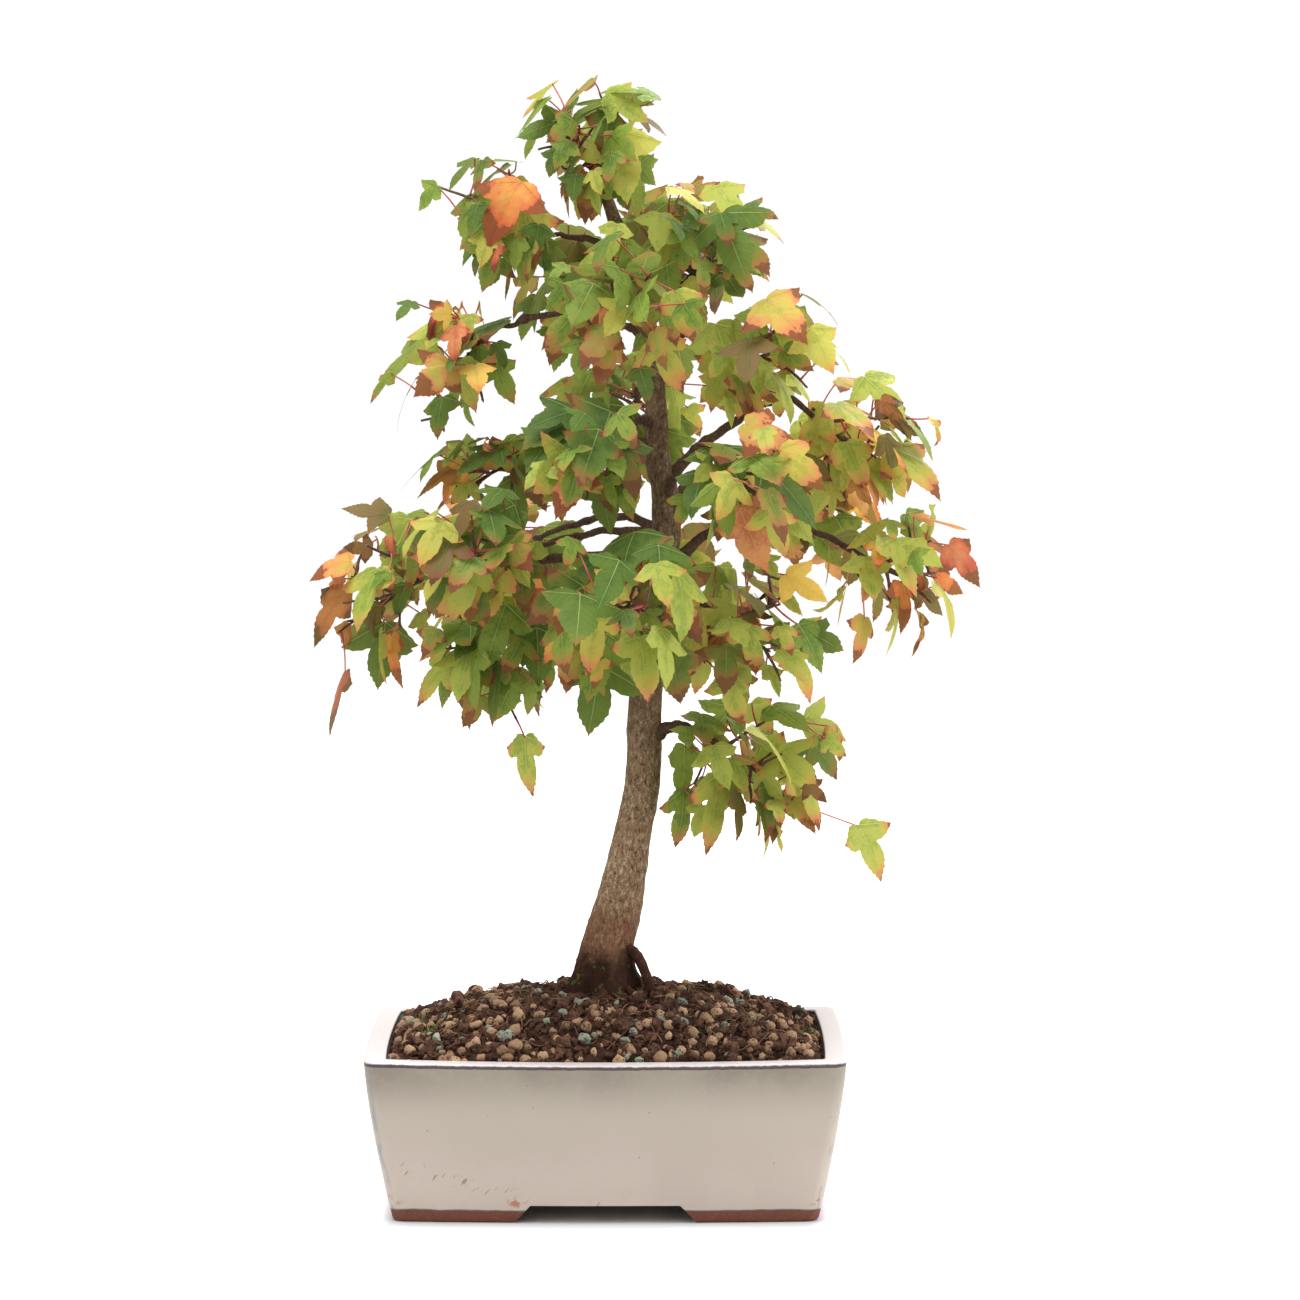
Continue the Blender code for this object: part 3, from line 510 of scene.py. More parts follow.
growth = dict(
    seed=17,
    gap=0.3,
    boughRings=7,
    boughKink=1.3,
    crownMiddle=(12.0, 20.0),
    crownLow=np.array((-153.0, -143.0, 161.0)),
    crownHigh=np.array((188.5, 143.0, 563.5)),
    twigs=7,
    twigReach=(0.42, 0.62),
    twigLean=0.3,
    twigSpan=(0.15, 0.9),  # of the stem, where twigs leave it
    stalkLean=0.15,
    stalkSpan=(0.25, 0.96),  # of the twig, where stalks leave it
    wander=0.3,
    tries=140,
    leafReach=(0.5, 0.95),
    leafHang=(0.4, 0.5, 0.75, 0.35),  # outward, away from the mass, down, and at random
    leafFacing=(0.4, 0.45, 0.5, 0.55),  # outward, to the front or back, up, and at random
    stalkSink=0.3,
    stemFoot=4.0,
    stemLap=0.5,
    stemPastMiddle=0.35,
    limbRoom=2.0,
    reachSpare=1.25,
    spaceRoom=0.8,
    middleOfLeaf=0.36,
    outline=((1.0, 0.0), (0.44, 0.25), (0.26, 0.57), (0.0, 0.0), (0.26, -0.57), (0.44, -0.25)),
    droop=0.11,
)
mainLeaves = dict(length=(28.0, 43.0), tipLength=(24.0, 36.0), room=3.2, stalk=(8.0, 42.0), tries=140)
fineLeaves = dict(
    length=(17.0, 33.0), room=1.8, stalk=(6.0, 34.0), tries=60, reach=(0.3, 1.02),
    share=1.15,  # of the main leaves' number
    fuller=1.6,  # times that on masses with more main leaves than this
    fullFrom=13,
)
smallLeaves = dict(
    length=(14.0, 27.0), room=1.4, stalk=(6.0, 30.0), tries=120, reach=(0.45, 1.08),
    spread=0.6,  # how far they stray from the way they are sent
)
fillings = {  # small leaves that close the gaps between masses: how many, and which way they lie
    "apex": (12, (0.2, -0.5, -1.0)),
    "front_high": (9, (-0.3, 0.4, 1.0)),
    "upper_left": (12, (0.5, -0.4, -0.7)),
    "upper_right": (9, (-0.7, -0.5, 0.7)),
    "left_upper": (12, (0.5, -0.3, 0.8)),
    "left_mid": (9, (-0.2, -0.3, 0.9)),
    "far_left": (9, (0.3, -0.4, 0.8)),
    "back_high": (8, (-0.5, 0.3, 0.8)),
    "back_upper": (8, (0.3, 0.2, 1.0)),
    "right_outer": (8, (-0.4, -0.4, 0.7)),
    "lower_right": (8, (0.4, -0.4, -0.3)),
}


def trunkPath():
    rows = [Vector(station) for station in trunkPlan["stations"]]
    rows = [rows[0] * 2 - rows[1], *rows, rows[-1] * 2 - rows[-2]]
    spans = len(rows) - 3
    path = []
    for step in range(trunkPlan["rings"]):
        place = min(step / (trunkPlan["rings"] - 1) * spans, spans - 1e-6)
        span = int(place)
        path.append(throughPoints(*rows[span : span + 4], place - span))
    return path


def trunkAt(height):
    path = trunkPath()
    for low, high in zip(path, path[1:]):
        if low.z <= height <= high.z:
            return low.lerp(high, (height - low.z) / (high.z - low.z))
    return path[-1]


def boughPath(name, plan):
    rng = random.Random(f"{growth['seed']} bough {name}")
    root = trunkAt(plan["height"]).to_3d()
    tip = Vector(plan["tip"])
    crest = root.lerp(tip, 0.5) + Vector((0.0, 0.0, 2.0 * plan["arch"]))
    thick, thin = plan["thick"]
    path = []
    for step in range(growth["boughRings"]):
        t = step / (growth["boughRings"] - 1)
        point = root * (1 - t) ** 2 + crest * (2 * t * (1 - t)) + tip * t**2
        kink = growth["boughKink"] * math.sin(math.pi * t)
        point += Vector([rng.uniform(-kink, kink) for _ in range(3)])
        path.append(Vector((*point, thick + (thin - thick) * t**0.8)))
    return path


class Limbs:  # the trunk and boughs as short rods, for keeping leaves and twigs clear of them
    def __init__(self, paths):
        rods = [pair for path in paths.values() for pair in zip(path, path[1:])]
        self.start = np.array([low[:3] for low, high in rods])
        self.run = np.array([high[:3] for low, high in rods]) - self.start
        self.radius = np.array([max(low.w, high.w) for low, high in rods])

    def clearOf(self, points, room):
        away = points[:, None, :] - self.start
        share = (away * self.run).sum(2) / (self.run**2).sum(1)
        nearest = away - np.clip(share, 0.0, 1.0)[:, :, None] * self.run
        return bool((np.linalg.norm(nearest, axis=2) > self.radius + room).all())


class Space:  # the room that one mass keeps to: a rounded reach, with a flat border to each other mass
    def __init__(self, name):
        plan = crown[name]
        self.middle = np.array(plan["middle"], float)
        self.reach = np.array(plan["reach"], float)
        self.borders = []
        for other, theirs in crown.items():
            if other == name:
                continue
            away = np.array(theirs["middle"], float) - self.middle
            distance = np.linalg.norm(away)
            away /= distance
            own = 1.0 / np.linalg.norm(away / self.reach)
            their = 1.0 / np.linalg.norm(away / np.array(theirs["reach"], float))
            limit = self.middle @ away + distance * own / (own + their) - growth["spaceRoom"]
            self.borders.append((away, limit))

    def holds(self, points, withinReach=True):
        if (points < growth["crownLow"]).any() or (points > growth["crownHigh"]).any():
            return False
        if withinReach and (((points - self.middle) / self.reach) ** 2).sum(1).max() > growth["reachSpare"]:
            return False
        return all((points @ away).max() < limit for away, limit in self.borders)


def along(start, end, step=2.5):
    count = max(2, int((end - start).length / step) + 1)
    return np.array([start.lerp(end, share) for share in np.linspace(0.0, 1.0, count)])


def near(points, others, room):
    if not len(points) or not len(others):
        return False
    return bool((np.linalg.norm(points[:, None] - others[None], axis=2) < room).any())


def leafFrame(base, heading, facing):  # the leaf's axes: along it, across it, and out of its face
    across = facing.cross(heading).normalized()
    face = heading.cross(across)
    return Matrix((heading, across, face)).transposed().to_4x4(), Vector(base)


def leafPoints(base, heading, facing, length):  # points over the blade, for testing its room
    turn, place = leafFrame(base, heading, facing)
    middle = Vector((growth["middleOfLeaf"], 0.0, 0.0))
    droop = growth["droop"]
    corners = [Vector((x, y, -droop if abs(y) > 0.3 or x == 1.0 else 0.0)) for x, y in growth["outline"]]
    spots = []
    for corner, following in zip(corners, corners[1:] + corners[:1]):
        spots += [middle.lerp(corner, share) for share in (0.25, 0.5, 0.75, 1.0)]
        spots += [corner.lerp(following, share) for share in (0.33, 0.67)]
    return np.array([place + turn @ (spot * length) for spot in spots])


def onSphere(z, angle):
    flat = math.sqrt(1.0 - z * z)
    return Vector((flat * math.cos(angle), flat * math.sin(angle), z))


def unit(rng):
    return onSphere(rng.uniform(-1.0, 1.0), rng.uniform(0.0, 2 * math.pi))


def goldenTurn(index):  # turns that never fall on each other
    return index * math.pi * (3.0 - math.sqrt(5.0))


def spiral(index, count):  # directions spread evenly over the sphere
    return onSphere(1.0 - 2.0 * (index + 0.5) / count, goldenTurn(index))


def within(value, low=0.0, high=1.0):
    return min(max(value, low), high)


def scaled(direction, reach):
    return Vector([a * b for a, b in zip(direction, reach)])


class Mass:  # a stem from the limb's tip, twigs from the stem, leaves from them all
    def __init__(self, name, limb, limbs):
        self.name = name
        self.plan = crown[name]
        self.rng = random.Random(f"{growth['seed']} mass {name}")
        self.space = Space(name)
        self.limbs = limbs
        self.middle = Vector(self.plan["middle"])
        self.leaves = []
        self.blades = np.empty((0, 3))
        self.grow(limb)

    def grow(self, limb):
        heading = (limb[-1] - limb[-2]).to_3d().normalized()
        root = limb[-1].to_3d() + heading * growth["gap"]
        bend = root + heading * growth["stemFoot"]
        end = self.middle + (self.middle - root) * growth["stemPastMiddle"]
        self.rods = [(root, bend + heading * growth["stemLap"]), (bend, end)]
        self.bearers = [(bend, end)]
        for index in range(growth["twigs"]):
            self.growTwig(spiral(index, growth["twigs"]))
        for index, tip in enumerate(self.plan["tips"]):
            grown = len(self.leaves)
            self.growLeaf(lambda length: self.atTip(Vector(tip), length), mainLeaves, "tipLength", False)
            if len(self.leaves) > grown:
                self.leaves[-1]["tip"] = index
        wanted = self.plan["leaves"]
        self.spread(wanted - len(self.plan["tips"]), mainLeaves, growth["leafReach"])
        fuller = fineLeaves["fuller"] if wanted > fineLeaves["fullFrom"] else 1.0
        self.spread(int(wanted * fineLeaves["share"] * fuller), fineLeaves, fineLeaves["reach"])
        count, toward = fillings.get(self.name, (0, (0.0, 0.0, 1.0)))
        for _ in range(count):
            self.growLeaf(lambda length: self.atGap(Vector(toward), length), smallLeaves)

    def spread(self, count, rule, reach):
        for index in range(count):
            way = spiral(index, count)
            self.growLeaf(lambda length: self.atLarge(way, length, reach), rule)

    def twig(self, start, end, room):
        spots = along(start, end)
        if not self.space.holds(spots, False) or not self.limbs.clearOf(spots, growth["limbRoom"]):
            return False
        if near(self.blades, spots, room):
            return False
        self.rods.append((start, end))
        self.bearers.append((start, end))
        return True

    def bearerSpot(self, base):
        best = None
        for index, (start, end) in enumerate(self.bearers):
            run = end - start
            share = (base - start).dot(run) / run.length_squared - growth["stalkLean"]
            spot = start.lerp(end, within(share, *growth["stalkSpan"]))
            if best is None or (spot - base).length < (best - base).length:
                best = spot
                self.spray = index
        return best

    def growTwig(self, direction):
        for _ in range(growth["tries"]):
            way = (direction + unit(self.rng) * growth["wander"]).normalized()
            end = self.middle + scaled(way, self.plan["reach"]) * self.rng.uniform(*growth["twigReach"])
            nearEnd, farEnd = self.bearers[0]
            run = farEnd - nearEnd
            share = (end - nearEnd).dot(run) / run.length_squared - growth["twigLean"]
            if self.twig(nearEnd.lerp(farEnd, within(share, *growth["twigSpan"])), end, mainLeaves["room"]):
                return

    def hang(self, spot, aside):
        rng = self.rng
        outward = Vector((spot.x - growth["crownMiddle"][0], spot.y, 0.0)).normalized()
        out, away, down, stray = growth["leafHang"]
        heading = outward * out + aside * away + Vector((0.0, 0.0, -down)) + unit(rng) * stray
        out, foreAndAft, up, stray = growth["leafFacing"]
        foreAndAft = math.copysign(foreAndAft, spot.y - growth["crownMiddle"][1])
        facing = outward * out + Vector((0.0, foreAndAft, up)) + unit(rng) * stray
        return heading.normalized(), facing

    def atTip(self, tip, length):
        heading, facing = self.hang(tip, (tip - self.middle).normalized() * 1.6)
        turn, _ = leafFrame(tip, heading, facing)
        return tip - turn @ (Vector((1.0, 0.0, -growth["droop"])) * length), heading, facing

    def atLarge(self, way, length, reach):
        way = (way + unit(self.rng) * growth["wander"]).normalized()
        blade = self.middle + scaled(way, self.plan["reach"]) * self.rng.uniform(*reach)
        heading, facing = self.hang(blade, way)
        return blade - heading * length * growth["middleOfLeaf"], heading, facing

    def atGap(self, toward, length):
        way = toward.normalized() + unit(self.rng) * smallLeaves["spread"]
        return self.atLarge(way, length, smallLeaves["reach"])

    def meetsTwig(self, points, room):
        return any(near(points, along(start, end), room) for start, end in self.rods)

    def growLeaf(self, place, rule, lengths="length", withinReach=True):
        room = rule["room"]
        for _ in range(rule["tries"]):
            length = self.rng.uniform(*rule[lengths])
            base, heading, facing = place(length)
            points = leafPoints(base, heading, facing, length)
            if not self.space.holds(points, withinReach):
                continue
            if near(self.blades, points, room) or self.meetsTwig(points, room):
                continue
            root = base + heading * length * growth["stalkSink"]
            node = self.bearerSpot(base)
            spare = (base - node).length - self.rng.uniform(*rule["stalk"])
            side = node.lerp(base, spare / (base - node).length) if spare > mainLeaves["stalk"][0] else node
            stalk = along(side, root)
            fits = self.space.holds(stalk, False) and not near(self.blades, stalk, room)
            if not fits or not self.limbs.clearOf(np.vstack((points, stalk)), growth["limbRoom"]):
                continue
            if side is not node and not self.twig(node, side, room):
                continue
            self.blades = np.vstack((self.blades, points))
            self.rods.append((side, root))
            leaf = dict(base=base, heading=heading, facing=facing, length=length)
            self.leaves.append(dict(leaf, side=side, spray=self.spray, fine=rule is not mainLeaves))
            return


limbPaths = {"trunk": trunkPath()}
for name, plan in crown.items():
    if plan["height"] is not None:
        limbPaths[name] = boughPath(name, plan)
limbs = Limbs(limbPaths)
masses = [Mass(name, limbPaths.get(name, limbPaths["trunk"]), limbs) for name in crown]
print("Crown grown:", sum(len(mass.leaves) for mass in masses), "leaves on", len(masses), "masses")


# Bark

bark = dict(
    ground=(128, 102, 77),
    pale=(157, 129, 99),
    fleck=(200, 183, 156),
    crack=(58, 44, 36),
    foot=(36, 20, 15),
    damp=(104, 58, 38),
    footRelief=1.3,  # mm, where the roots part
    moss=(92, 104, 48),
    crownShade=(0.19, 0.28),  # m above the ground, from clear to full
    dampRise=(0.182, 0.15),
    footRise=(0.156, 0.136),
    limbShare=0.84,  # of the bough's thickness in the frame, knots left out
    trunkSides=64,
    trunkRings=430,
    trunkRelief=(0.42, (2.0, 8.0), 0.45),  # mm: ridges' height, size across and along, swellings' height
    limbRelief=(0.22, (1.6, 4.5), 0.25),
    swellSize=14.0,
    partingSize=6.5,  # mm, of the hollows between the roots
    partingHeight=9.0,
    knots=(  # height, turn, size and lift
        (172.0, 4.4, 6.0, 0.8),
        (246.0, 4.9, 5.0, 1.1),
        (362.0, 5.1, 5.0, 1.2),
    ),
    limbSides=16,
    limbEnd=0.7,  # mm, the radius at the stem's end
    topStem=2.2,  # mm, where the stem at the very top starts
    limbWobble=0.8,
    limbKnots=(0.12, 0.3),  # how much thicker
    collar=(0.5, 11.0),  # how much thicker at the trunk, and how far that reaches
)


def barkGroup():
    group, given, result = newGroup(
        "barkSurface", ["Place"], ["FleckSize"], ["Fleck", "Crack", "Cloud", "Height"]
    )
    place, size = given["Place"], given["FleckSize"]
    dash = speckle(place, size, 4.0, 0.65, stretch=(1.0, 1.0, 0.5))
    fine = speckle(place, times(size, 2.6), 3.0, 0.6, stretch=(1.0, 1.0, 0.6))
    both = times(fine, 0.4, times(dash, 0.6))
    plug(result["Fleck"], rise(both, 0.52, 0.6))
    plug(result["Crack"], rise(both, 0.47, 0.39))
    plug(result["Cloud"], speckle(place, times(size, 0.12), 2.0, 0.5))
    plug(result["Height"], both)
    return group


barkSurface = barkGroup()


# Each kind: roughness, shine, fleck size, ground, pale, fleck and its share, crack and its share, depth.
barkKinds = dict(
    barkTrunk=(
        0.9, 0.1, 560.0, bark["ground"], bark["pale"], bark["fleck"], 0.72, bark["crack"], 0.85, 0.5,
    ),
    barkBough=(0.85, 0.15, 900.0, (70, 50, 40), (98, 76, 60), (138, 116, 96), 0.32, (46, 34, 28), 0.7, 0.35),
    barkTwig=(0.7, 0.3, 1300.0, (84, 62, 52), (104, 72, 58), (134, 112, 98), 0.4, (50, 36, 32), 0.5, 0.2),
    barkRoot=(0.9, 0.1, 700.0, (52, 30, 23), (78, 50, 38), (128, 100, 80), 0.3, (44, 28, 22), 0.7, 0.4),
)


def barkMaterial(name):
    roughness, shine, size, ground, pale, fleck, fleckShare, crack, crackShare, depth = barkKinds[name]
    material, place = newMaterial(name, roughness, shine)
    surface = useGroup(barkSurface, Place=place, FleckSize=size)
    colour = mixColours(surface["Cloud"], ground, pale)
    colour = layer(colour, fleck, surface["Fleck"], fleckShare)
    colour = layer(colour, crack, surface["Crack"], crackShare)
    if name == "barkTrunk":
        colour = trunkColour(colour, place)
    return finish(material, colour, surface["Height"], depth)


def trunkColour(colour, place):  # darker up in the crown as painted shade, damp and mossy at the foot
    height = split(place)[2]
    # Painted shade: the crack colour is laid half over the trunk up in the crown, where the leaves shade it.
    colour = layer(colour, bark["crack"], rise(height, *bark["crownShade"]), 0.5)
    ragged = times(speckle(place, 90.0, 3.0), 0.04, height)
    footMask = rise(ragged, *bark["footRise"])
    colour = layer(colour, bark["damp"], rise(ragged, *bark["dampRise"]), 0.6)
    colour = layer(colour, bark["foot"], footMask, 0.9)
    mossMask = times(rise(speckle(place, 150.0, 2.0), 0.6, 0.68), footMask)
    return layer(colour, bark["moss"], mossMask, 0.55)


def cutMaterial():
    material, place = newMaterial("cutWood", 0.8, 0.2)
    grain = speckle(place, 1500.0, 3.0)
    return finish(material, mixColours(grain, (96, 76, 58), (150, 124, 92)), grain, 0.15)


def barkRelief(points, outward, ridge, size, swell, seed):
    across, lengthwise = size
    squeezed = points * np.array((1.0, 1.0, across / lengthwise))
    relief = crossNoise(squeezed, across, seed) * ridge
    relief += crossNoise(points, bark["swellSize"], seed + 5.0, 2) * swell
    return points + outward * relief[:, None]


def makeTrunk():
    gather = Gather()
    line = smoothLine([tuple(station) for station in limbPaths["trunk"]], bark["trunkRings"])
    line = line[line[:, 2] > trunkPlan["cut"] - 4.0]
    points, outward, faces = tube(line, bark["trunkSides"])
    above = np.maximum(points[:, 2] - trunkPlan["cut"], 0.0)
    around = np.arctan2(outward[:, 1], outward[:, 0])
    ridge = np.cos(trunkPlan["flareLobes"] * around + trunkPlan["flareTurn"])
    grow = trunkPlan["flareDepth"] * ridge * np.exp(-above / trunkPlan["flareHeight"])
    middle = np.repeat(line[:, :3], bark["trunkSides"], axis=0)
    points[:-2] += (points[:-2] - middle) * grow[:-2, None]
    for height, angle, size, lift in bark["knots"]:
        here = trunkAt(height)
        spot = np.array(here[:3]) + here.w * np.array((math.cos(angle), math.sin(angle), 0.0))
        away = np.linalg.norm(points - spot, axis=1) / size
        swelling = lift * np.exp(-(away**2) * 1.6) - 0.6 * lift * np.exp(-(away**2) * 9.0)
        points += outward * swelling[:, None]
    parting = crossNoise(points * (1.0, 1.0, 0.45), bark["partingSize"], 21.0, 2)
    points += outward * (parting * np.exp(-above / bark["partingHeight"]) * bark["footRelief"])[:, None]
    points = barkRelief(points, outward, *bark["trunkRelief"], 1.0)
    gather.add(points, faces)
    piece = gather.build("trunk_bark", [barkMaterial("barkTrunk")])
    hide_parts("trunk")


def limbLine(mass):  # the bough's line carried on to the end of its stem
    stemEnd = mass.rods[1][1]
    path = [] if mass.plan["height"] is None else [tuple(station) for station in limbPaths[mass.name]]
    start = Vector(path[-1][:3]) if path else mass.rods[0][0]
    radius = path[-1][3] if path else bark["topStem"]
    path = path or [(*start, radius)]
    for share in (0.3, 0.65, 1.0):
        point = start.lerp(stemEnd, share)
        path.append((*point, radius + (bark["limbEnd"] - radius) * share))
    return path


def makeBoughs():
    gather = Gather()
    for index, mass in enumerate(masses):
        rng = random.Random(f"limb {mass.name}")
        stations = limbLine(mass)
        line = smoothLine(stations, 12 * len(stations))
        length = lengthsAlong(line[:, :3])
        most = bark["limbWobble"]
        wobble = np.array([[rng.uniform(-most, most) for _ in range(3)] for _ in stations * 2])
        wobble[0] = wobble[-1] = 0.0
        line[:, :3] += smoothLine(wobble, len(line))
        thicker, reach = bark["collar"]
        line[:, 3] *= bark["limbShare"] * (1.0 + thicker * np.exp(-((length / reach) ** 2)))
        for _ in range(max(2, int(length[-1] / 14))):
            where = rng.uniform(0.15, 0.95) * length[-1]
            line[:, 3] *= 1.0 + rng.uniform(*bark["limbKnots"]) * np.exp(-(((length - where) / 1.8) ** 2))
        points, outward, faces = tube(line, bark["limbSides"])
        points = barkRelief(points, outward, *bark["limbRelief"], index + 3.0)
        gather.add(points, faces)
    piece = gather.build("bough_bark", [barkMaterial("barkBough")])
    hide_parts(*[f"bough_{name}" for name, plan in crown.items() if plan["height"] is not None])


def bentLine(start, end, sag, radii, count, rng, stray):  # a line that sags and strays between its ends
    start, end = np.array(start), np.array(end)
    shares = np.linspace(0.0, 1.0, count)
    line = start + (end - start) * shares[:, None]
    line[:, 2] -= sag * 4.0 * shares * (1.0 - shares)
    for _ in range(2):
        push = np.array([rng.uniform(-stray, stray) for _ in range(3)])
        line += push * np.sin(math.pi * shares * rng.choice((1, 2, 3)))[:, None]
    thick = radii[0] + (radii[1] - radii[0]) * shares
    return np.column_stack((line, thick))


twigPlan = dict(
    radius=(0.95, 0.55),
    sides=7,
    sag=-0.5,
    stray=0.5,
    knots=0.35,  # how much thicker
    budChance=0.6,
    stubs=3,  # bare cut ends in each mass
    stubLength=(6.0, 20.0),
    stubRadius=(0.8, 0.6),
    budLength=(2.2, 3.6),
    budRadius=0.75,
    budShape=((0.0, 0.7), (0.25, 1.0), (0.5, 0.85), (0.75, 0.5), (1.0, 0.08)),  # shares of both
)


def addBud(gather, place, way, rng, kind):
    way = way.normalized()
    length = rng.uniform(*twigPlan["budLength"])
    start = place - way * 0.6
    shares, thick = np.array(twigPlan["budShape"]).T
    line = np.array(start) + np.array(way) * length * shares[:, None]
    gather.addTube(np.column_stack((line, twigPlan["budRadius"] * thick)), 6, kind)


def makeTwigs():
    gather = Gather()
    for mass in masses:
        rng = random.Random(f"twigs {mass.name}")
        for start, end in mass.bearers[1:]:
            count = max(5, int((end - start).length / 2.0))
            line = bentLine(start, end, twigPlan["sag"], twigPlan["radius"], count, rng, twigPlan["stray"])
            for ring in range(2, count, 4):
                line[ring, 3] *= 1.0 + twigPlan["knots"] * rng.uniform(0.5, 1.0)
            gather.addTube(line, twigPlan["sides"])
            if rng.random() < twigPlan["budChance"]:
                addBud(gather, end, end - start, rng, 2)
        for _ in range(twigPlan["stubs"]):
            start, end = rng.choice(mass.bearers)
            root = start.lerp(end, rng.uniform(0.4, 0.9))
            outward = Vector((root.x - growth["crownMiddle"][0], root.y, 0.0)).normalized()
            way = (outward + unit(rng) * 0.7 + Vector((0.0, 0.0, 0.35))).normalized()
            tip = root + way * rng.uniform(*twigPlan["stubLength"])
            spots = along(root + way * 3.0, tip)
            if near(mass.blades, spots, 1.5):
                continue
            line = bentLine(root, tip, 0.0, twigPlan["stubRadius"], 6, rng, 0.3)
            points, _, faces = tube(line, twigPlan["sides"])
            kinds = np.zeros(len(faces[1]), int)
            kinds[twigPlan["sides"] :] = 1  # the cut end
            gather.add(points, faces[:1])
            gather.add(points, faces[1:], kinds)
    gather.build("twigs", [barkMaterial("barkTwig"), cutMaterial(), budMaterial()])


def budMaterial():
    material, place = newMaterial("budScale", 0.55, 0.4)
    grain = speckle(place, 1400.0, 2.0)
    return finish(material, mixColours(grain, (92, 48, 38), (142, 84, 58)), grain, 0.2)


makeTrunk()
makeBoughs()
makeTwigs()
print("Trunk, boughs and twigs made")


# Leaves

leafForm = dict(
    midLobe=(
        (1.0, 0.0), (0.93, 0.032), (0.86, 0.082), (0.77, 0.15), (0.67, 0.21), (0.56, 0.25), (0.47, 0.25),
        (0.4, 0.225),
    ),
    innerEdge=((0.4, 0.225), (0.385, 0.31), (0.365, 0.39), (0.33, 0.47), (0.285, 0.545), (0.24, 0.61)),
    backEdge=(
        (0.24, 0.61), (0.195, 0.53), (0.125, 0.43), (0.05, 0.33), (-0.015, 0.23), (-0.045, 0.13), (0.0, 0.0),
    ),
    steps=dict(main=(14, 7, 9), fine=(10, 5, 6)),  # points on each of the three edges
    rings=dict(main=(0.14, 0.3, 0.46, 0.61, 0.75, 0.88, 1.0), fine=(0.2, 0.42, 0.63, 0.83, 1.0)),
    teeth=(0.012, 0.009, 0.009),  # depth on each edge, as a share of the length
    lobeAngle=68.5,  # degrees from the middle vein to the side lobe's
    lobeLength=0.655,
    lobeGrow=(-0.28, 0.1),  # how much longer the side lobes are
    lobeWidth=0.35,  # radians
    spread=(-9.0, 5.0),  # degrees that the side lobes open
    squeeze=(0.86, 1.08),
    skew=0.12,
    bend=(0.1, 0.75),  # radians along the blade
    roll=(-0.35, 0.7),  # radians across it
    pucker=(0.008, 0.026),  # lift between the veins
    wave=(0.0, 0.022),  # at the edge
    dryBend=(0.9, 2.4),
    dryRoll=(1.2, 2.6),
    drySqueeze=(0.5, 0.8),
    sinus=(-0.04, 0.3),  # how much deeper the notches between the lobes are
    sinusAngle=0.55,  # radians from the middle vein, and half their width
    sinusWidth=0.17,
    twist=(0.3, 0.75),  # radians a leaf may turn about its middle vein, large and small ones
)

# Colours as seen: the blade, the patches in it, the veins, the fading and the turning parts and the
# dead edge. Then how far the leaf turns and dries, and how strong the patches are.
tintColumns = ("body", "patch", "vein", "fading", "turning", "dead", "turn", "dry", "patches")
tintRows = {
    "deepGreen": (
        (56, 88, 36), (88, 116, 44), (166, 188, 108), (120, 118, 50),
        (158, 78, 58), (112, 60, 44), 0.1, 0.0, 0.75,
    ),
    "midGreen": (
        (82, 118, 42), (134, 154, 62), (190, 206, 120), (152, 142, 62),
        (190, 94, 72), (126, 66, 46), 0.22, 0.06, 0.85,
    ),
    "paleGreen": (
        (136, 158, 62), (178, 184, 84), (206, 216, 124), (206, 184, 82),
        (214, 114, 90), (140, 74, 50), 0.3, 0.1, 0.95,
    ),
    "yellowGreen": (
        (164, 172, 68), (198, 192, 90), (214, 210, 116), (222, 178, 82),
        (228, 126, 98), (140, 72, 48), 0.42, 0.16, 1.0,
    ),
    "gold": (
        (228, 184, 80), (240, 196, 98), (218, 194, 108), (232, 160, 74),
        (220, 98, 66), (150, 74, 44), 0.6, 0.3, 0.9,
    ),
    "coral": (
        (204, 104, 82), (226, 160, 104), (220, 172, 112), (222, 140, 88),
        (182, 64, 62), (122, 54, 40), 0.7, 0.3, 0.7,
    ),
    "rust": (
        (166, 94, 56), (196, 128, 72), (172, 116, 76), (150, 80, 46),
        (116, 52, 38), (84, 44, 32), 0.6, 0.5, 0.7,
    ),
    "purpleGreen": (
        (92, 94, 48), (128, 92, 58), (150, 144, 88), (124, 80, 52),
        (142, 62, 54), (92, 42, 38), 0.26, 0.1, 0.8,
    ),
}
leafTints = {name: dict(zip(tintColumns, row)) for name, row in tintRows.items()}
tintNames = list(leafTints)
leafLook = dict(  # from where to where each part of the pattern comes on
    patch=(1.35, 1.85),
    fading=(0.85, 1.45),
    turning=(1.15, 1.9),
    dead=(1.48, 1.56),
    veinShare=0.72,
    fadingShare=0.6,
    lightThrough=0.36,
    throughShare=0.32,  # of the colour that the light takes on inside the blade
    throughColour=(208, 212, 108),
)


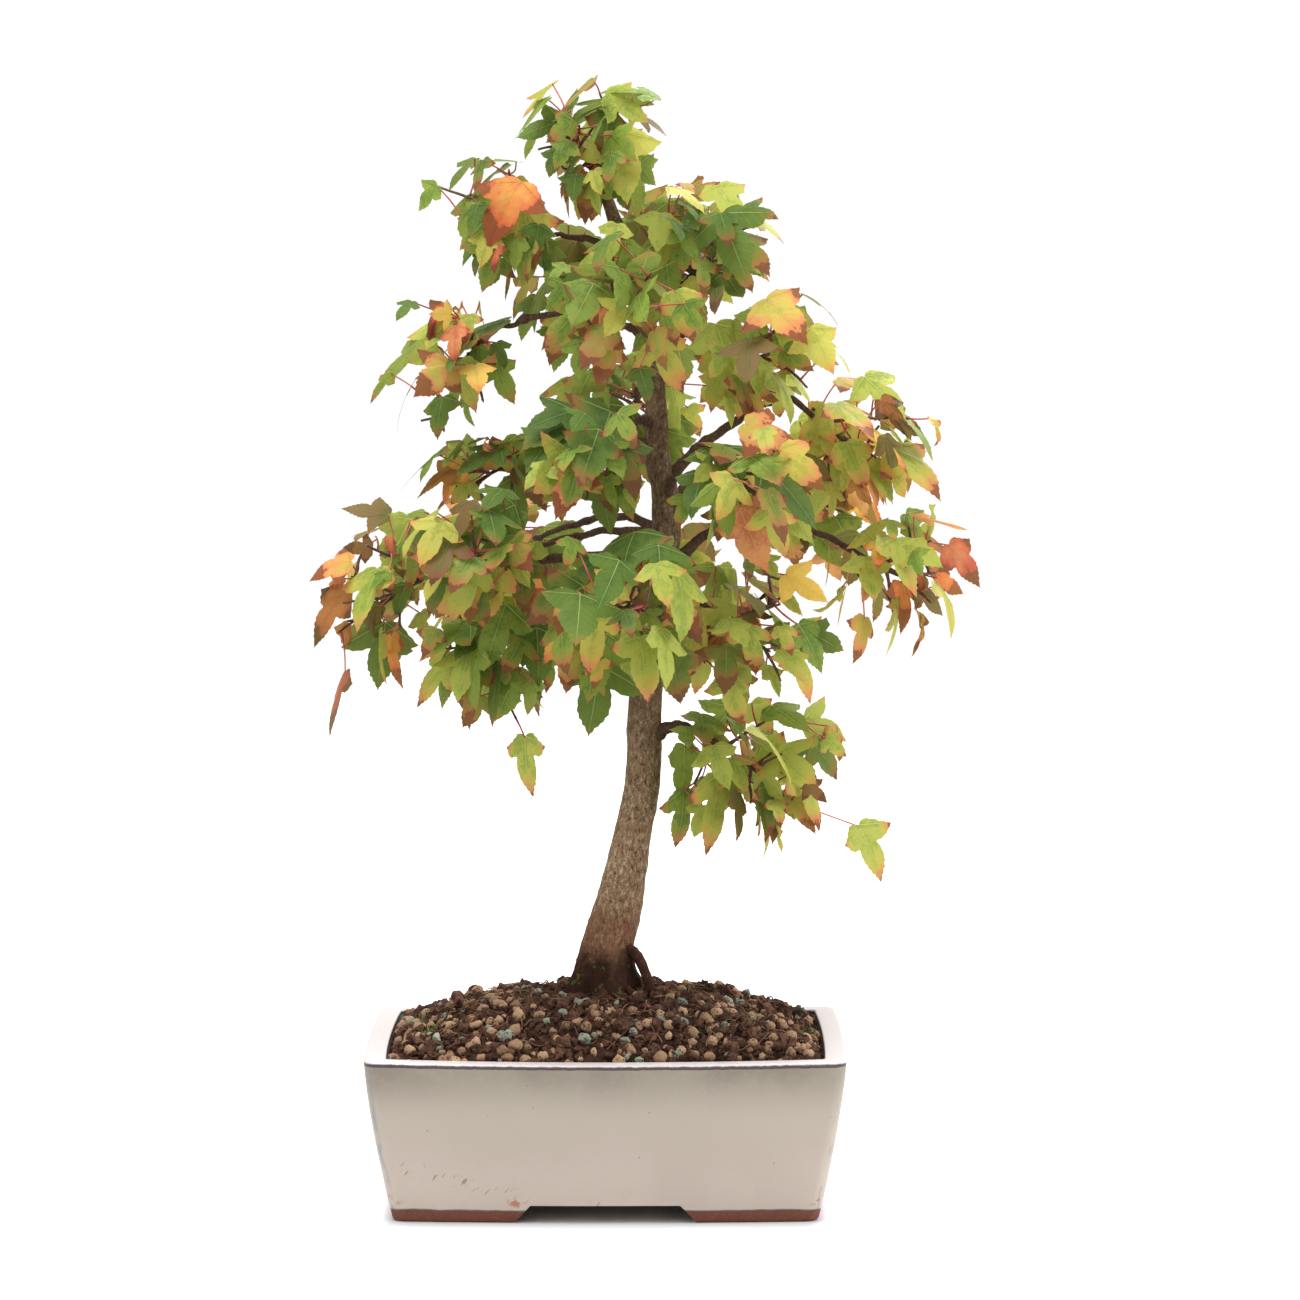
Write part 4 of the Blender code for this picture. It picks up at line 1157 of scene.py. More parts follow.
def veinGroup():  # the blade's place: X across it, Y along it
    group, given, result = newGroup("leafVeins", ["Blade"], [], ["Main", "Side", "Between"])
    across, length, _ = split(given["Blade"])
    aside = calc("ABSOLUTE", across)
    angle = math.radians(leafForm["lobeAngle"])
    cosine, sine = math.cos(angle), math.sin(angle)
    alongLobe = calc("ADD", times(length, cosine), times(aside, sine))
    offLobe = apart(times(aside, cosine), times(length, sine))
    nearest = calc("MINIMUM", aside, offLobe)
    width = times(calc("MAXIMUM", length, alongLobe), -0.0075, 0.0115)
    plug(result["Main"], rise(nearest, width, times(width, 0.4)))
    onLobe = calc("LESS_THAN", offLobe, aside)
    midRun = times(aside, -0.85, length)
    lobeRun = times(offLobe, -0.85, alongLobe)
    midPart = times(calc("SUBTRACT", 1.0, onLobe), midRun)
    chosen = calc("ADD", times(onLobe, lobeRun), midPart)
    stripe = calc("FRACT", times(chosen, 8.0, 0.5))
    off = apart(stripe, 0.5)
    started = rise(chosen, 0.03, 0.08)
    plug(result["Side"], times(rise(off, 0.06, 0.015), started))
    swelling = times(rise(off, 0.0, 0.3), 0.35, 0.65)
    plug(result["Between"], times(rise(nearest, 0.0, 0.09), swelling))
    return group


def patternGroup(veins):  # Edge: X runs from the stalk to the edge, Y rises to each lobe's tip
    group, given, result = newGroup(
        "leafPattern",
        ["Blade", "Edge", "Leaf", "Place"],
        ["Turn", "Dry"],
        ["Vein", "Patch", "Fading", "Turning", "Dead", "Height"],
    )
    found = useGroup(veins, Blade=given["Blade"])
    rim, tipward, _ = split(given["Edge"])
    chance, other, _ = split(given["Leaf"])
    coarse = speckle(given["Place"], 130.0, 3.0, 0.6)
    fine = speckle(given["Place"], 620.0, 3.0, 0.65)
    plug(result["Vein"], calc("MAXIMUM", found["Main"], times(found["Side"], 0.26)))
    spots = rise(cells(given["Place"], 380.0), 0.36, 0.18)
    spots = times(spots, rise(coarse, 0.4, 0.6))
    patch = times(coarse, 1.4, times(fine, 1.1))
    patch = times(found["Between"], 0.22, patch)
    patch = times(rim, 0.25, patch)
    patch = times(other, 0.3, patch)
    patch = calc("MAXIMUM", rise(patch, *leafLook["patch"]), times(spots, 0.85))
    plug(result["Patch"], patch)
    reach = times(tipward, 0.9, times(calc("POWER", rim, 3.0), 0.26))
    reach = times(coarse, 1.1, reach)
    reach = times(fine, 0.24, calc("SUBTRACT", reach, 0.09))
    reach = times(calc("SUBTRACT", chance, 0.64), 1.5, reach)
    turning = calc("ADD", reach, given["Turn"])
    plug(result["Fading"], rise(turning, *leafLook["fading"]))
    plug(result["Turning"], rise(turning, *leafLook["turning"]))
    dead = calc("ADD", reach, given["Dry"])
    plug(result["Dead"], rise(dead, *leafLook["dead"]))
    lift = times(found["Main"], -0.6, times(found["Side"], -0.15))
    lift = times(found["Between"], 0.3, lift)
    plug(result["Height"], times(fine, 0.35, lift))
    return group


leafPattern = patternGroup(veinGroup())


def leafMaterial(name, tint):
    material, place = newMaterial(name, 0.56, 0.2)
    maps = {name.title(): mapPlace(place, name) for name in ("blade", "edge", "leaf")}
    pattern = useGroup(leafPattern, Place=place, Turn=tint["turn"], Dry=tint["dry"], **maps)
    colour = layer(tint["body"], tint["patch"], pattern["Patch"], tint["patches"])
    colour = layer(colour, tint["vein"], pattern["Vein"], leafLook["veinShare"])
    colour = layer(colour, tint["fading"], pattern["Fading"], leafLook["fadingShare"])
    colour = mixColours(pattern["Turning"], colour, tint["turning"])
    colour = mixColours(pattern["Dead"], colour, tint["dead"])
    finish(material, colour, pattern["Height"], 0.35)
    inside = mixColours(leafLook["throughShare"], colour, leafLook["throughColour"])
    through = addNode("ShaderNodeBsdfTranslucent", inside)
    plug(through.inputs["Color"], inside)
    both = addNode("ShaderNodeMixShader", inside)
    parts = (leafLook["lightThrough"], shaderOf(material).outputs[0], through.outputs[0])
    for socket, value in zip(both.inputs, parts):
        plug(socket, value)
    plug(material.node_tree.nodes["Material Output"].inputs["Surface"], both.outputs[0])
    return material


def evenly(line, count):  # points at even steps along a line
    lengths = lengthsAlong(line)
    spots = np.linspace(0.0, lengths[-1], count + 1)
    return np.column_stack([np.interp(spots, lengths, line[:, column]) for column in range(2)])


def leafRays(rng, size):  # the blade's outline, from the back edge on one side round to that on the other
    sides = []
    for _ in range(2):
        points = []
        edges = (leafForm["midLobe"], leafForm["innerEdge"], leafForm["backEdge"])
        for edge, steps, depth in zip(edges, leafForm["steps"][size], leafForm["teeth"]):
            part = evenly(smoothLine(edge, 120), steps)
            way = np.gradient(part, axis=0)
            way /= np.linalg.norm(way, axis=1)[:, None]
            out = np.column_stack((way[:, 1], -way[:, 0]))
            for step in range(1, steps):
                fade = math.sin(math.pi * step / steps) ** 0.5
                tooth = depth * fade * (1.0 if step % 2 else -1.0) * rng.uniform(0.4, 1.3)
                part[step] -= out[step] * tooth
            points.append(part[:-1])
        sides.append(np.vstack(points))
    right, left = sides
    return np.vstack((right[::-1], left[1:] * (1.0, -1.0)))


def bendOver(run, lift, turn):  # rolls a length into an arc
    if abs(turn) < 1e-3:
        return run, lift
    radius = 1.0 / turn
    return (radius + lift) * np.sin(run * turn), (radius + lift) * np.cos(run * turn) - radius


def tipShare(flat):  # 1 at each lobe's tip, falling to 0 over a third of the length
    angle = math.radians(leafForm["lobeAngle"])
    lobe = leafForm["lobeLength"]
    length, across = math.cos(angle) * lobe, math.sin(angle) * lobe
    tips = ((1.0, 0.0, 0.55), (length, across, 0.36), (length, -across, 0.36))  # place and reach
    shares = [1.0 - np.linalg.norm(flat - np.array(tip), axis=1) / reach for *tip, reach in tips]
    return np.clip(np.max(shares, axis=0), 0.0, 1.0)


def leafBlade(rng, size, dry):
    rays = leafRays(rng, size)
    rings = np.array(leafForm["rings"][size])
    flat = np.vstack(((0.0, 0.0), (rays * rings[:, None, None]).reshape(-1, 2)))
    count = len(rays)
    rim = np.concatenate(([0.0], np.repeat(rings, count)))
    tipward = tipShare(flat)
    place = np.linspace(-1.0, 1.0, count)  # round the blade, for lift between the veins
    offVein = np.min([abs(place - vein) for vein in (-0.66, 0.0, 0.66)], axis=0)
    between = np.sin(np.clip(offVein / 0.33, 0.0, 1.0) * math.pi / 2)
    between = np.concatenate(([0.0], np.tile(between, len(rings))))
    turns = np.concatenate(([0.0], np.tile(place, len(rings)))) * math.pi
    length, across = flat.T
    spread = math.radians(rng.uniform(*leafForm["spread"]))
    radius, angle = np.hypot(length, across), np.arctan2(across, length)
    for side in (-1.0, 1.0):
        offLobe = (angle - side * math.radians(leafForm["lobeAngle"])) / leafForm["lobeWidth"]
        radius *= 1.0 + rng.uniform(*leafForm["lobeGrow"]) * np.exp(-(offLobe**2))
    offSinus = (abs(angle) - leafForm["sinusAngle"]) / leafForm["sinusWidth"]
    radius *= 1.0 - rng.uniform(*leafForm["sinus"]) * np.exp(-(offSinus**2))
    angle += np.clip(angle / 1.1, -1.0, 1.0) * spread
    length, across = radius * np.cos(angle), radius * np.sin(angle) * rng.uniform(*leafForm["squeeze"])
    lift = rng.uniform(*leafForm["pucker"]) * between * rim * (1.3 - rim)
    wave = rng.uniform(*leafForm["wave"]) * rim**3
    lift += wave * np.sin(turns * rng.choice((2, 3, 4)) + rng.uniform(0.0, 6.0))
    lift += rng.uniform(-leafForm["skew"], leafForm["skew"]) * length * across
    if dry:
        across = across * rng.uniform(*leafForm["drySqueeze"])
        lift += 0.05 * rim**2 * np.sin(turns * 5.0 + rng.uniform(0.0, 6.0))
        across, lift = bendOver(across, lift, rng.choice((-1.0, 1.0)) * rng.uniform(*leafForm["dryRoll"]))
        length, lift = bendOver(length, lift, rng.uniform(*leafForm["dryBend"]))
    else:
        across, lift = bendOver(across, lift, rng.uniform(*leafForm["roll"]))
        length, lift = bendOver(length, lift, rng.uniform(*leafForm["bend"]))
    points = np.column_stack((length, across, lift))
    ring, turn = np.meshgrid(np.arange(len(rings) - 1), np.arange(count - 1), indexing="ij")
    inner = (1 + ring * count + turn).ravel()
    quads = np.column_stack((inner, inner + count, inner + count + 1, inner + 1))
    spokes = np.arange(1, count)
    fan = np.column_stack((np.zeros(count - 1, int), spokes, spokes + 1))
    maps = dict(blade=flat[:, ::-1], edge=np.column_stack((rim, tipward)))
    return points, [quads, fan], maps


autumn = dict(
    base=0.24,
    rightStart=70.0,  # mm from the trunk where the colour comes, and how fast
    rightShare=0.6,
    leftStart=75.0,
    leftShare=0.36,
    run=60.0,
    spread=0.55,  # how much sprays differ
    stray=0.2,  # and leaves in a spray
    dryLimit=0.72,
    topStart=455.0,  # mm above the ground, from where the leaves are greener again
    topShare=-0.16,
    topPale=0.45,  # of the paler greens
    topRed=0.15,  # of the reds
    paleLitStart=5.0,  # mm to the right, from where the leaves are dealt paler greens as painted light for the brighter right side
)


def tintOf(leaf, mass, rng):  # deals the autumn colours out by spray, with paler greens to the right as painted light
    spray = random.Random(f"spray {mass.name} {leaf['spray']}").uniform(-0.5, 0.5)
    aside = leaf["base"].x - growth["crownMiddle"][0]
    share = autumn["base"]
    share += autumn["rightShare"] * within((aside - autumn["rightStart"]) / autumn["run"])
    share += autumn["leftShare"] * within((-aside - autumn["leftStart"]) / autumn["run"])
    atTop = leaf["base"].z > autumn["topStart"]
    share += autumn["topShare"] if atTop else 0.0
    share += spray * autumn["spread"] + rng.uniform(-1.0, 1.0) * autumn["stray"]
    share = within(share)
    # Painted light: leaves further right get paler greens and fewer deep ones, standing in for the brighter
    # light on that side.
    pale = within((aside - autumn["paleLitStart"]) / autumn["run"])
    paleShare = autumn["topPale"] if atTop else 1.0
    redShare = autumn["topRed"] if atTop else 1.0
    weights = dict(
        deepGreen=(1.7 - 1.3 * pale) * (1.0 - share) ** 2,
        midGreen=(1.7 - 0.6 * pale) * (1.0 - share),
        paleGreen=paleShare * (0.6 + 1.1 * pale) * (1.0 + share * 0.7),
        yellowGreen=paleShare * (0.26 + 0.4 * share + 0.3 * pale),
        gold=redShare * 0.7 * share**2,
        coral=redShare * (1.3 if leaf["fine"] else 0.6) * (1.0 - 0.3 * pale) * share**2,
        rust=redShare * (0.8 if leaf["fine"] else 0.3) * share**2,
        purpleGreen=0.1 + 0.25 * share,
    )
    return rng.choices(tintNames, [weights[name] for name in tintNames])[0], share


tipTints = {  # leaves at the tips that stand out: the tint, and how far it turns, 0 to 1
    ("far_left", 1): ("coral", 0.9),
    ("far_left", 2): ("gold", 0.85),
    ("front_high", 0): ("paleGreen", 0.95),
    ("right_outer", 0): ("coral", 0.8),
    ("right_outer", 1): ("yellowGreen", 0.8),
    ("right_outer", 2): ("gold", 0.9),
    ("lower_right", 0): ("paleGreen", 0.55),
    ("left_low", 0): ("paleGreen", 0.6),
    ("upper_left", 0): ("midGreen", 0.4),
    ("apex", 0): ("midGreen", 0.3),
    ("apex", 1): ("paleGreen", 0.3),
    ("apex", 2): ("midGreen", 0.4),
}
stalkPlan = dict(radius=(0.6, 0.42), sag=0.06, bow=0.08, sides=5)  # sag and bow as shares of the length
leafGroups = {
    "leaves_top": ("apex", "upper_left", "upper_right", "back_high", "front_high", "right_high"),
    "leaves_left": ("far_left", "left_low", "left_mid", "left_upper", "back_upper"),
    "leaves_right": ("right_outer", "right_mid", "right_low", "lower_right"),
    "leaves_front": ("front_low", "front_left", "front_right", "front_mid"),
    "leaves_back": ("back_low", "back_left", "back_right", "back_mid"),
}


def bakePlace(flat, index, count):  # each leaf has its own square of the piece's bake map
    side = math.ceil(math.sqrt(count))
    inCell = np.column_stack(((flat[:, 1] + 0.68) / 1.36, (flat[:, 0] + 0.2) / 1.36))
    return (np.array((index % side, index // side)) + 0.03 + inCell * 0.94) / side


def stalkLine(leaf, base):
    start = np.array(leaf["side"])
    end = np.array(base + leaf["heading"] * leaf["length"] * 0.03)
    length = np.linalg.norm(end - start)
    middle = (start + end) / 2 - np.array((0.0, 0.0, 1.0)) * stalkPlan["sag"] * length
    middle -= np.array(leaf["heading"]) * length * stalkPlan["bow"]
    thick, thin = stalkPlan["radius"]
    return smoothLine(((*start, thick), (*middle, thin), (*end, thin)), 8)


def makeLeaves():
    materials = [leafMaterial(name, tint) for name, tint in leafTints.items()]
    stalks = Gather()
    for pieceName, names in leafGroups.items():
        gather = Gather()
        members = [(mass, leaf) for mass in masses if mass.name in names for leaf in mass.leaves]
        for index, (mass, leaf) in enumerate(members):
            rng = random.Random(f"leaf {mass.name} {leaf['base'].x:.2f} {leaf['base'].z:.2f}")
            tint, share = tintOf(leaf, mass, rng)
            tint, turned = tipTints.get((mass.name, leaf.get("tip")), (tint, None))
            dry = leaf["fine"] and (tint == "rust" or (share > autumn["dryLimit"] and rng.random() < 0.5))
            size = "fine" if leaf["fine"] else "main"
            points, faces, maps = leafBlade(rng, size, dry)
            twist = leafForm["twist"][leaf["fine"]]
            facing = Matrix.Rotation(rng.uniform(-twist, twist), 3, leaf["heading"]) @ leaf["facing"]
            turn, base = leafFrame(leaf["base"], leaf["heading"], facing)
            placed = points * leaf["length"] @ np.array(turn.to_3x3()).T + np.array(base)
            first, second = rng.random(), rng.random()
            chance = np.tile((first if turned is None else turned, second), (len(points), 1))
            bake = bakePlace(maps["blade"][:, ::-1], index, len(members))
            gather.add(placed, faces, tintNames.index(tint), leaf=chance, OFBake=bake, **maps)
            stalks.addTube(stalkLine(leaf, base), stalkPlan["sides"])
        piece = gather.build(pieceName, materials)
        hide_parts(*[f"foliage_{name}" for name in names])
    stalks.build("leaf_stalks", [stalkMaterial()])


def stalkMaterial():
    material, place = newMaterial("redStalk", 0.45, 0.4)
    grain = speckle(place, 60.0, 2.0)
    colour = mixColours(rise(grain, 0.4, 0.65), (172, 50, 52), (204, 120, 94))
    return finish(material, colour, speckle(place, 1500.0, 2.0), 0.08)


makeLeaves()
print("Leaves and stalks made")


# Roots at the trunk's foot

rootPlan = dict(
    arch=(  # the root that leaves the trunk above the soil: x, y, z, radius
        (8.0, -4.0, 128.0, 3.2),
        (14.2, -6.0, 124.5, 2.7),
        (18.0, -7.0, 118.5, 2.5),
        (20.8, -8.0, 111.0, 2.6),
        (25.0, -10.0, 99.0, 2.6),
    ),
    count=9,
    reach=(25.0, 44.0),
    lift=(1.5, 6.5),
    radius=(3.2, 0.9),
    footHeight=106.0,
    stations=(0.25, 0.45, 0.62, 0.8, 1.0),  # shares of the reach
    stray=0.2,  # radians
    sides=14,
    relief=(0.35, (1.8, 5.0), 0.5),
)


def makeRoots():
    gather = Gather()
    rng = random.Random("roots")
    foot = trunkAt(rootPlan["footHeight"])[:2]
    lines = [np.array(rootPlan["arch"])]
    for index in range(rootPlan["count"]):
        angle = index * 2 * math.pi / rootPlan["count"] + rng.uniform(-0.25, 0.25)
        reach = rng.uniform(*rootPlan["reach"])
        lift = rng.uniform(*rootPlan["lift"])
        stations = []
        for share in rootPlan["stations"]:
            turn = angle + rng.uniform(-rootPlan["stray"], rootPlan["stray"]) * share
            out = reach * share
            x, y = foot[0] + out * math.cos(turn), foot[1] + out * math.sin(turn)
            z = soilAt(x, y) + lift * max(0.0, 1.0 - share * 1.15) * 1.6 - 2.2 * share
            thick, thin = rootPlan["radius"]
            stations.append((x, y, z, thick + (thin - thick) * share))
        lines.append(np.array(stations))
    for index, stations in enumerate(lines):
        points, outward, faces = tube(smoothLine(stations, 48), rootPlan["sides"])
        points = barkRelief(points, outward, *rootPlan["relief"], index + 40.0)
        gather.add(points, faces)
    gather.build("surface_roots", [barkMaterial("barkRoot")])


# Pot

potPlan = dict(
    width=240.0,
    depth=172.0,
    height=82.0,
    flare=13.3,
    flarePower=1.35,
    bow=(1.7, 4.0),  # of the short sides and the long ones
    corner=6.0,
    sideSteps=44,
    cornerSteps=12,
    lip=10.5,
    lipRound=1.2,
    wall=9.0,
    floor=9.0,
    lipDip=1.0,
    footHeight=9.0,
    footBand=14.0,
    frontNotch=(74.0, 90.0),
    sideNotch=(44.0, 58.0),
    glazeEnd=5.9,  # height where the glaze stops on the feet
    throwing=0.22,  # mm, unevenness of the sides
    edgeRound=0.5,
    footEdge=((1.6, 0.0), (0.6, 0.3), (0.15, 0.9), (0.0, 1.8)),  # inset and height of the rounded foot
)


def potRing(inset, z, dip=0.0):
    sideSteps, cornerSteps = potPlan["sideSteps"], potPlan["cornerSteps"]
    flare = potPlan["flare"] * (1.0 - within(z / potPlan["height"])) ** potPlan["flarePower"]
    halfWidth = potPlan["width"] / 2 - flare - inset
    halfDepth = potPlan["depth"] / 2 - flare - inset
    corner = max(potPlan["corner"] - inset / 3, 2.0)
    bow = np.array(potPlan["bow"])
    flatWidth, flatDepth = halfWidth - bow[0], halfDepth - bow[1]
    points = []
    for quarter in range(4):
        alongX = quarter % 2 == 0
        ahead = flatDepth if alongX else flatWidth
        aside = (flatWidth if alongX else flatDepth) - corner
        turn = Matrix.Rotation(quarter * math.pi / 2, 2)
        for step in range(sideSteps):
            points.append(turn @ Vector((-aside + 2 * aside * step / sideSteps, -ahead)))
        for step in range(cornerSteps):
            angle = -math.pi / 2 + math.pi / 2 * step / cornerSteps
            bend = Vector((math.cos(angle), math.sin(angle))) * corner
            points.append(turn @ (Vector((aside, corner - ahead)) + bend))
    flat = np.array(points)
    share = flat / (halfWidth, halfDepth)
    flat = flat + bow * share * (1.0 - share[:, ::-1] ** 2)
    return np.column_stack((flat, z - dip * (1.0 - share[:, 0] ** 2)))


def loftMesh(name, rings):
    count = len(rings[0])
    points = np.vstack(rings)
    faces = ringFaces(len(rings), count).tolist()
    faces += [list(range(count))[::-1], list(range(len(points) - count, len(points)))]
    mesh = bpy.data.meshes.new(name)
    mesh.from_pydata((points * mm + np.array(potMiddle)).tolist(), [], faces)
    piece = bpy.data.objects.new(name, mesh)
    scene.collection.objects.link(piece)
    return piece


def notchBar(name, above, below, turned):
    high, low = potPlan["footHeight"], -5.0
    slope = (below - above) / 2 / high
    wide = above / 2 + slope * (high - low)
    rings = []
    for z, half in ((low, wide), (high, above / 2)):
        corners = np.array([(-half, -200.0), (half, -200.0), (half, 200.0), (-half, 200.0)])
        if turned:
            corners = corners[:, ::-1] * (1, -1)
        rings.append(np.column_stack((corners, np.full(4, z))))
    return loftMesh(name, rings)


def applyAll(piece):
    graph = bpy.context.evaluated_depsgraph_get()
    mesh = bpy.data.meshes.new_from_object(piece.evaluated_get(graph))
    piece.modifiers.clear()
    piece.data = mesh


def potRings():
    height, rounding, dip = potPlan["height"], potPlan["lipRound"], potPlan["lipDip"]
    rings = [potRing(inset, z) for inset, z in potPlan["footEdge"]]
    rings += [potRing(0.0, z) for z in np.linspace(3.0, height * 0.85, 34)]
    upper = ((height * 0.9, 0.5), (height - rounding - 1.0, 0.9))  # height, and share of the lip's dip
    rings += [potRing(0.0, z, dip * share) for z, share in upper]
    for turn in np.linspace(0.0, math.pi / 2, 7):
        lift = rounding * (1.0 - math.sin(turn))
        rings.append(potRing(rounding * (1.0 - math.cos(turn)), height - lift, dip))
    inside = potPlan["lip"] - rounding * 0.6
    rings += [potRing(inset, height, dip) for inset in (4.0, 6.0, inside)]
    for turn in np.linspace(0.3, math.pi / 2, 5):
        inset = inside + rounding * 0.6 * math.sin(turn)
        rings.append(potRing(inset, height - rounding * (1.0 - math.cos(turn)), dip))
    ledges = (height * 0.45, potPlan["footHeight"] + potPlan["floor"])
    return rings + [potRing(potPlan["wall"], z) for z in ledges]


def cutFeet(pot):
    cutters = [
        loftMesh("recess", [potRing(potPlan["footBand"], z) for z in (-5.0, potPlan["footHeight"] + 0.8)]),
        notchBar("frontNotch", *potPlan["frontNotch"], False),
        notchBar("sideNotch", *potPlan["sideNotch"], True),
    ]
    for cutter in cutters:
        cut = pot.modifiers.new(cutter.name, "BOOLEAN")
        cut.object = cutter
        cut.solver = "EXACT"
    applyAll(pot)
    for cutter in cutters:
        bpy.data.objects.remove(cutter)
    bevel = pot.modifiers.new("edges", "BEVEL")
    bevel.width = potPlan["edgeRound"] * mm
    bevel.segments = 2
    bevel.angle_limit = math.radians(50)
    applyAll(pot)


def makeUneven(mesh):  # uneven sides, and a map of the corners and the height for the glaze
    height = potPlan["height"]
    places = np.empty(len(mesh.vertices) * 3, np.float32)
    mesh.vertices.foreach_get("co", places)
    places = (places.reshape(-1, 3) - np.array(potMiddle)) / mm
    outer = 1.0 - np.clip(places[:, 2] / height, 0.0, 1.0)
    flare = potPlan["flare"] * outer ** potPlan["flarePower"]
    halves = np.column_stack((potPlan["width"] / 2 - flare, potPlan["depth"] / 2 - flare))
    inward = (halves - potPlan["bow"] - abs(places[:, :2])).clip(0.0)  # mm from each pair of sides
    cornerward = np.exp(-inward.max(axis=1) / 4.0)
    uneven = crossNoise(places, 38.0, 3.0, 2) * potPlan["throwing"]
    side = (places[:, 2] > 2.0) & (places[:, 2] < height - 4.0)
    ways = places[:, :2] / np.linalg.norm(places[:, :2], axis=1)[:, None].clip(1.0)
    places[:, :2] += ways * (uneven * side)[:, None]
    mesh.vertices.foreach_set("co", (places * mm + np.array(potMiddle)).astype(np.float32).ravel())
    nearLip = np.clip((1.0 - outer - 0.85) / 0.13, 0.0, 1.0)
    raised = potPlan["lipDip"] * (1.0 - (places[:, 0] / halves[:, 0]) ** 2) * nearLip
    form = np.column_stack((cornerward, (places[:, 2] + raised) / height))
    corners = np.empty(len(mesh.loops), np.int32)
    mesh.loops.foreach_get("vertex_index", corners)
    mesh.uv_layers.new(name="form").data.foreach_set("uv", form[corners].astype(np.float32).ravel())


def makePot():
    pot = loftMesh("glazed_pot", potRings())
    cutFeet(pot)
    mesh = pot.data
    makeUneven(mesh)
    mesh.materials.clear()
    mesh.materials.append(potMaterial())
    mesh.shade_smooth()
    mesh.set_sharp_from_angle(angle=math.radians(40))
    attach(pot, "root")
    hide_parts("pot")
    print("  glazed_pot:", len(mesh.polygons), "faces")


glaze = dict(
    # low, body and top: one cream glaze with painted light and shade, lighter low on the sides and darker up
    # towards the lip
    low=(207, 191, 178),
    body=(190, 177, 163),
    top=(136, 127, 111),
    cloud=(184, 174, 158),
    lip=(212, 202, 200),
    breakLine=(66, 42, 34),
    blueGrey=(122, 130, 148),
    edgeLine=(64, 54, 50),
    clay=(130, 72, 52),
    clayDark=(98, 56, 42),
    clayPale=(160, 108, 84),
    rust=(172, 104, 50),
    scratch=(150, 108, 74),
    speck=(92, 76, 66),
    stains=((-44.0, 10.5, 6.5), (-105.0, 11.0, 6.0), (-4.0, 9.5, 6.0), (104.0, 11.0, 6.0)),  # x, z, radius
    lipRise=(0.988, 0.994),  # shares of the height
    lineRise=(0.969, 0.974),
    lineFall=(0.997, 0.992),
    scratches=dict(reach=(-108.0, -34.0), height=(30.0, 12.0), spread=4.5, fade=8),
)


def scratchMask(x, y, z):  # short slanted scratches in a falling band on the front
    plan = glaze["scratches"]
    (start, end), (high, low) = plan["reach"], plan["height"]
    turned = addNode("ShaderNodeCombineXYZ", x)
    plug(turned.inputs[0], times(z, -0.8, x))
    plug(turned.inputs[2], times(x, 0.8, z))
    dashes = speckle(turned.outputs[0], 640.0, 1.0, 0.4, stretch=(1.0, 1.0, 0.16))
    drop = (low - high) / (end - start)
    off = apart(z, times(x, drop, (high - drop * start) * mm))
    nearBand = rise(off, plan["spread"] * mm, plan["spread"] * 0.4 * mm)
    band = times(nearBand, rise(dashes, 0.615, 0.65))
    atStart = rise(x, start * mm, (start + plan["fade"]) * mm)
    span = times(atStart, rise(x, end * mm, (end - plan["fade"]) * mm))
    return times(times(band, span), calc("LESS_THAN", y, -0.05))


def stainMask(x, z, grain):
    found = 0.0
    for side, height, radius in glaze["stains"]:
        across = calc("POWER", calc("SUBTRACT", x, side * mm), 2.0)
        upward = calc("POWER", times(calc("SUBTRACT", z, height * mm), 1.6), 2.0)
        away = calc("SQRT", calc("ADD", across, upward))
        found = calc("MAXIMUM", rise(away, radius * mm, radius * 0.2 * mm), found)
    return times(found, rise(grain, 0.5, 0.6))


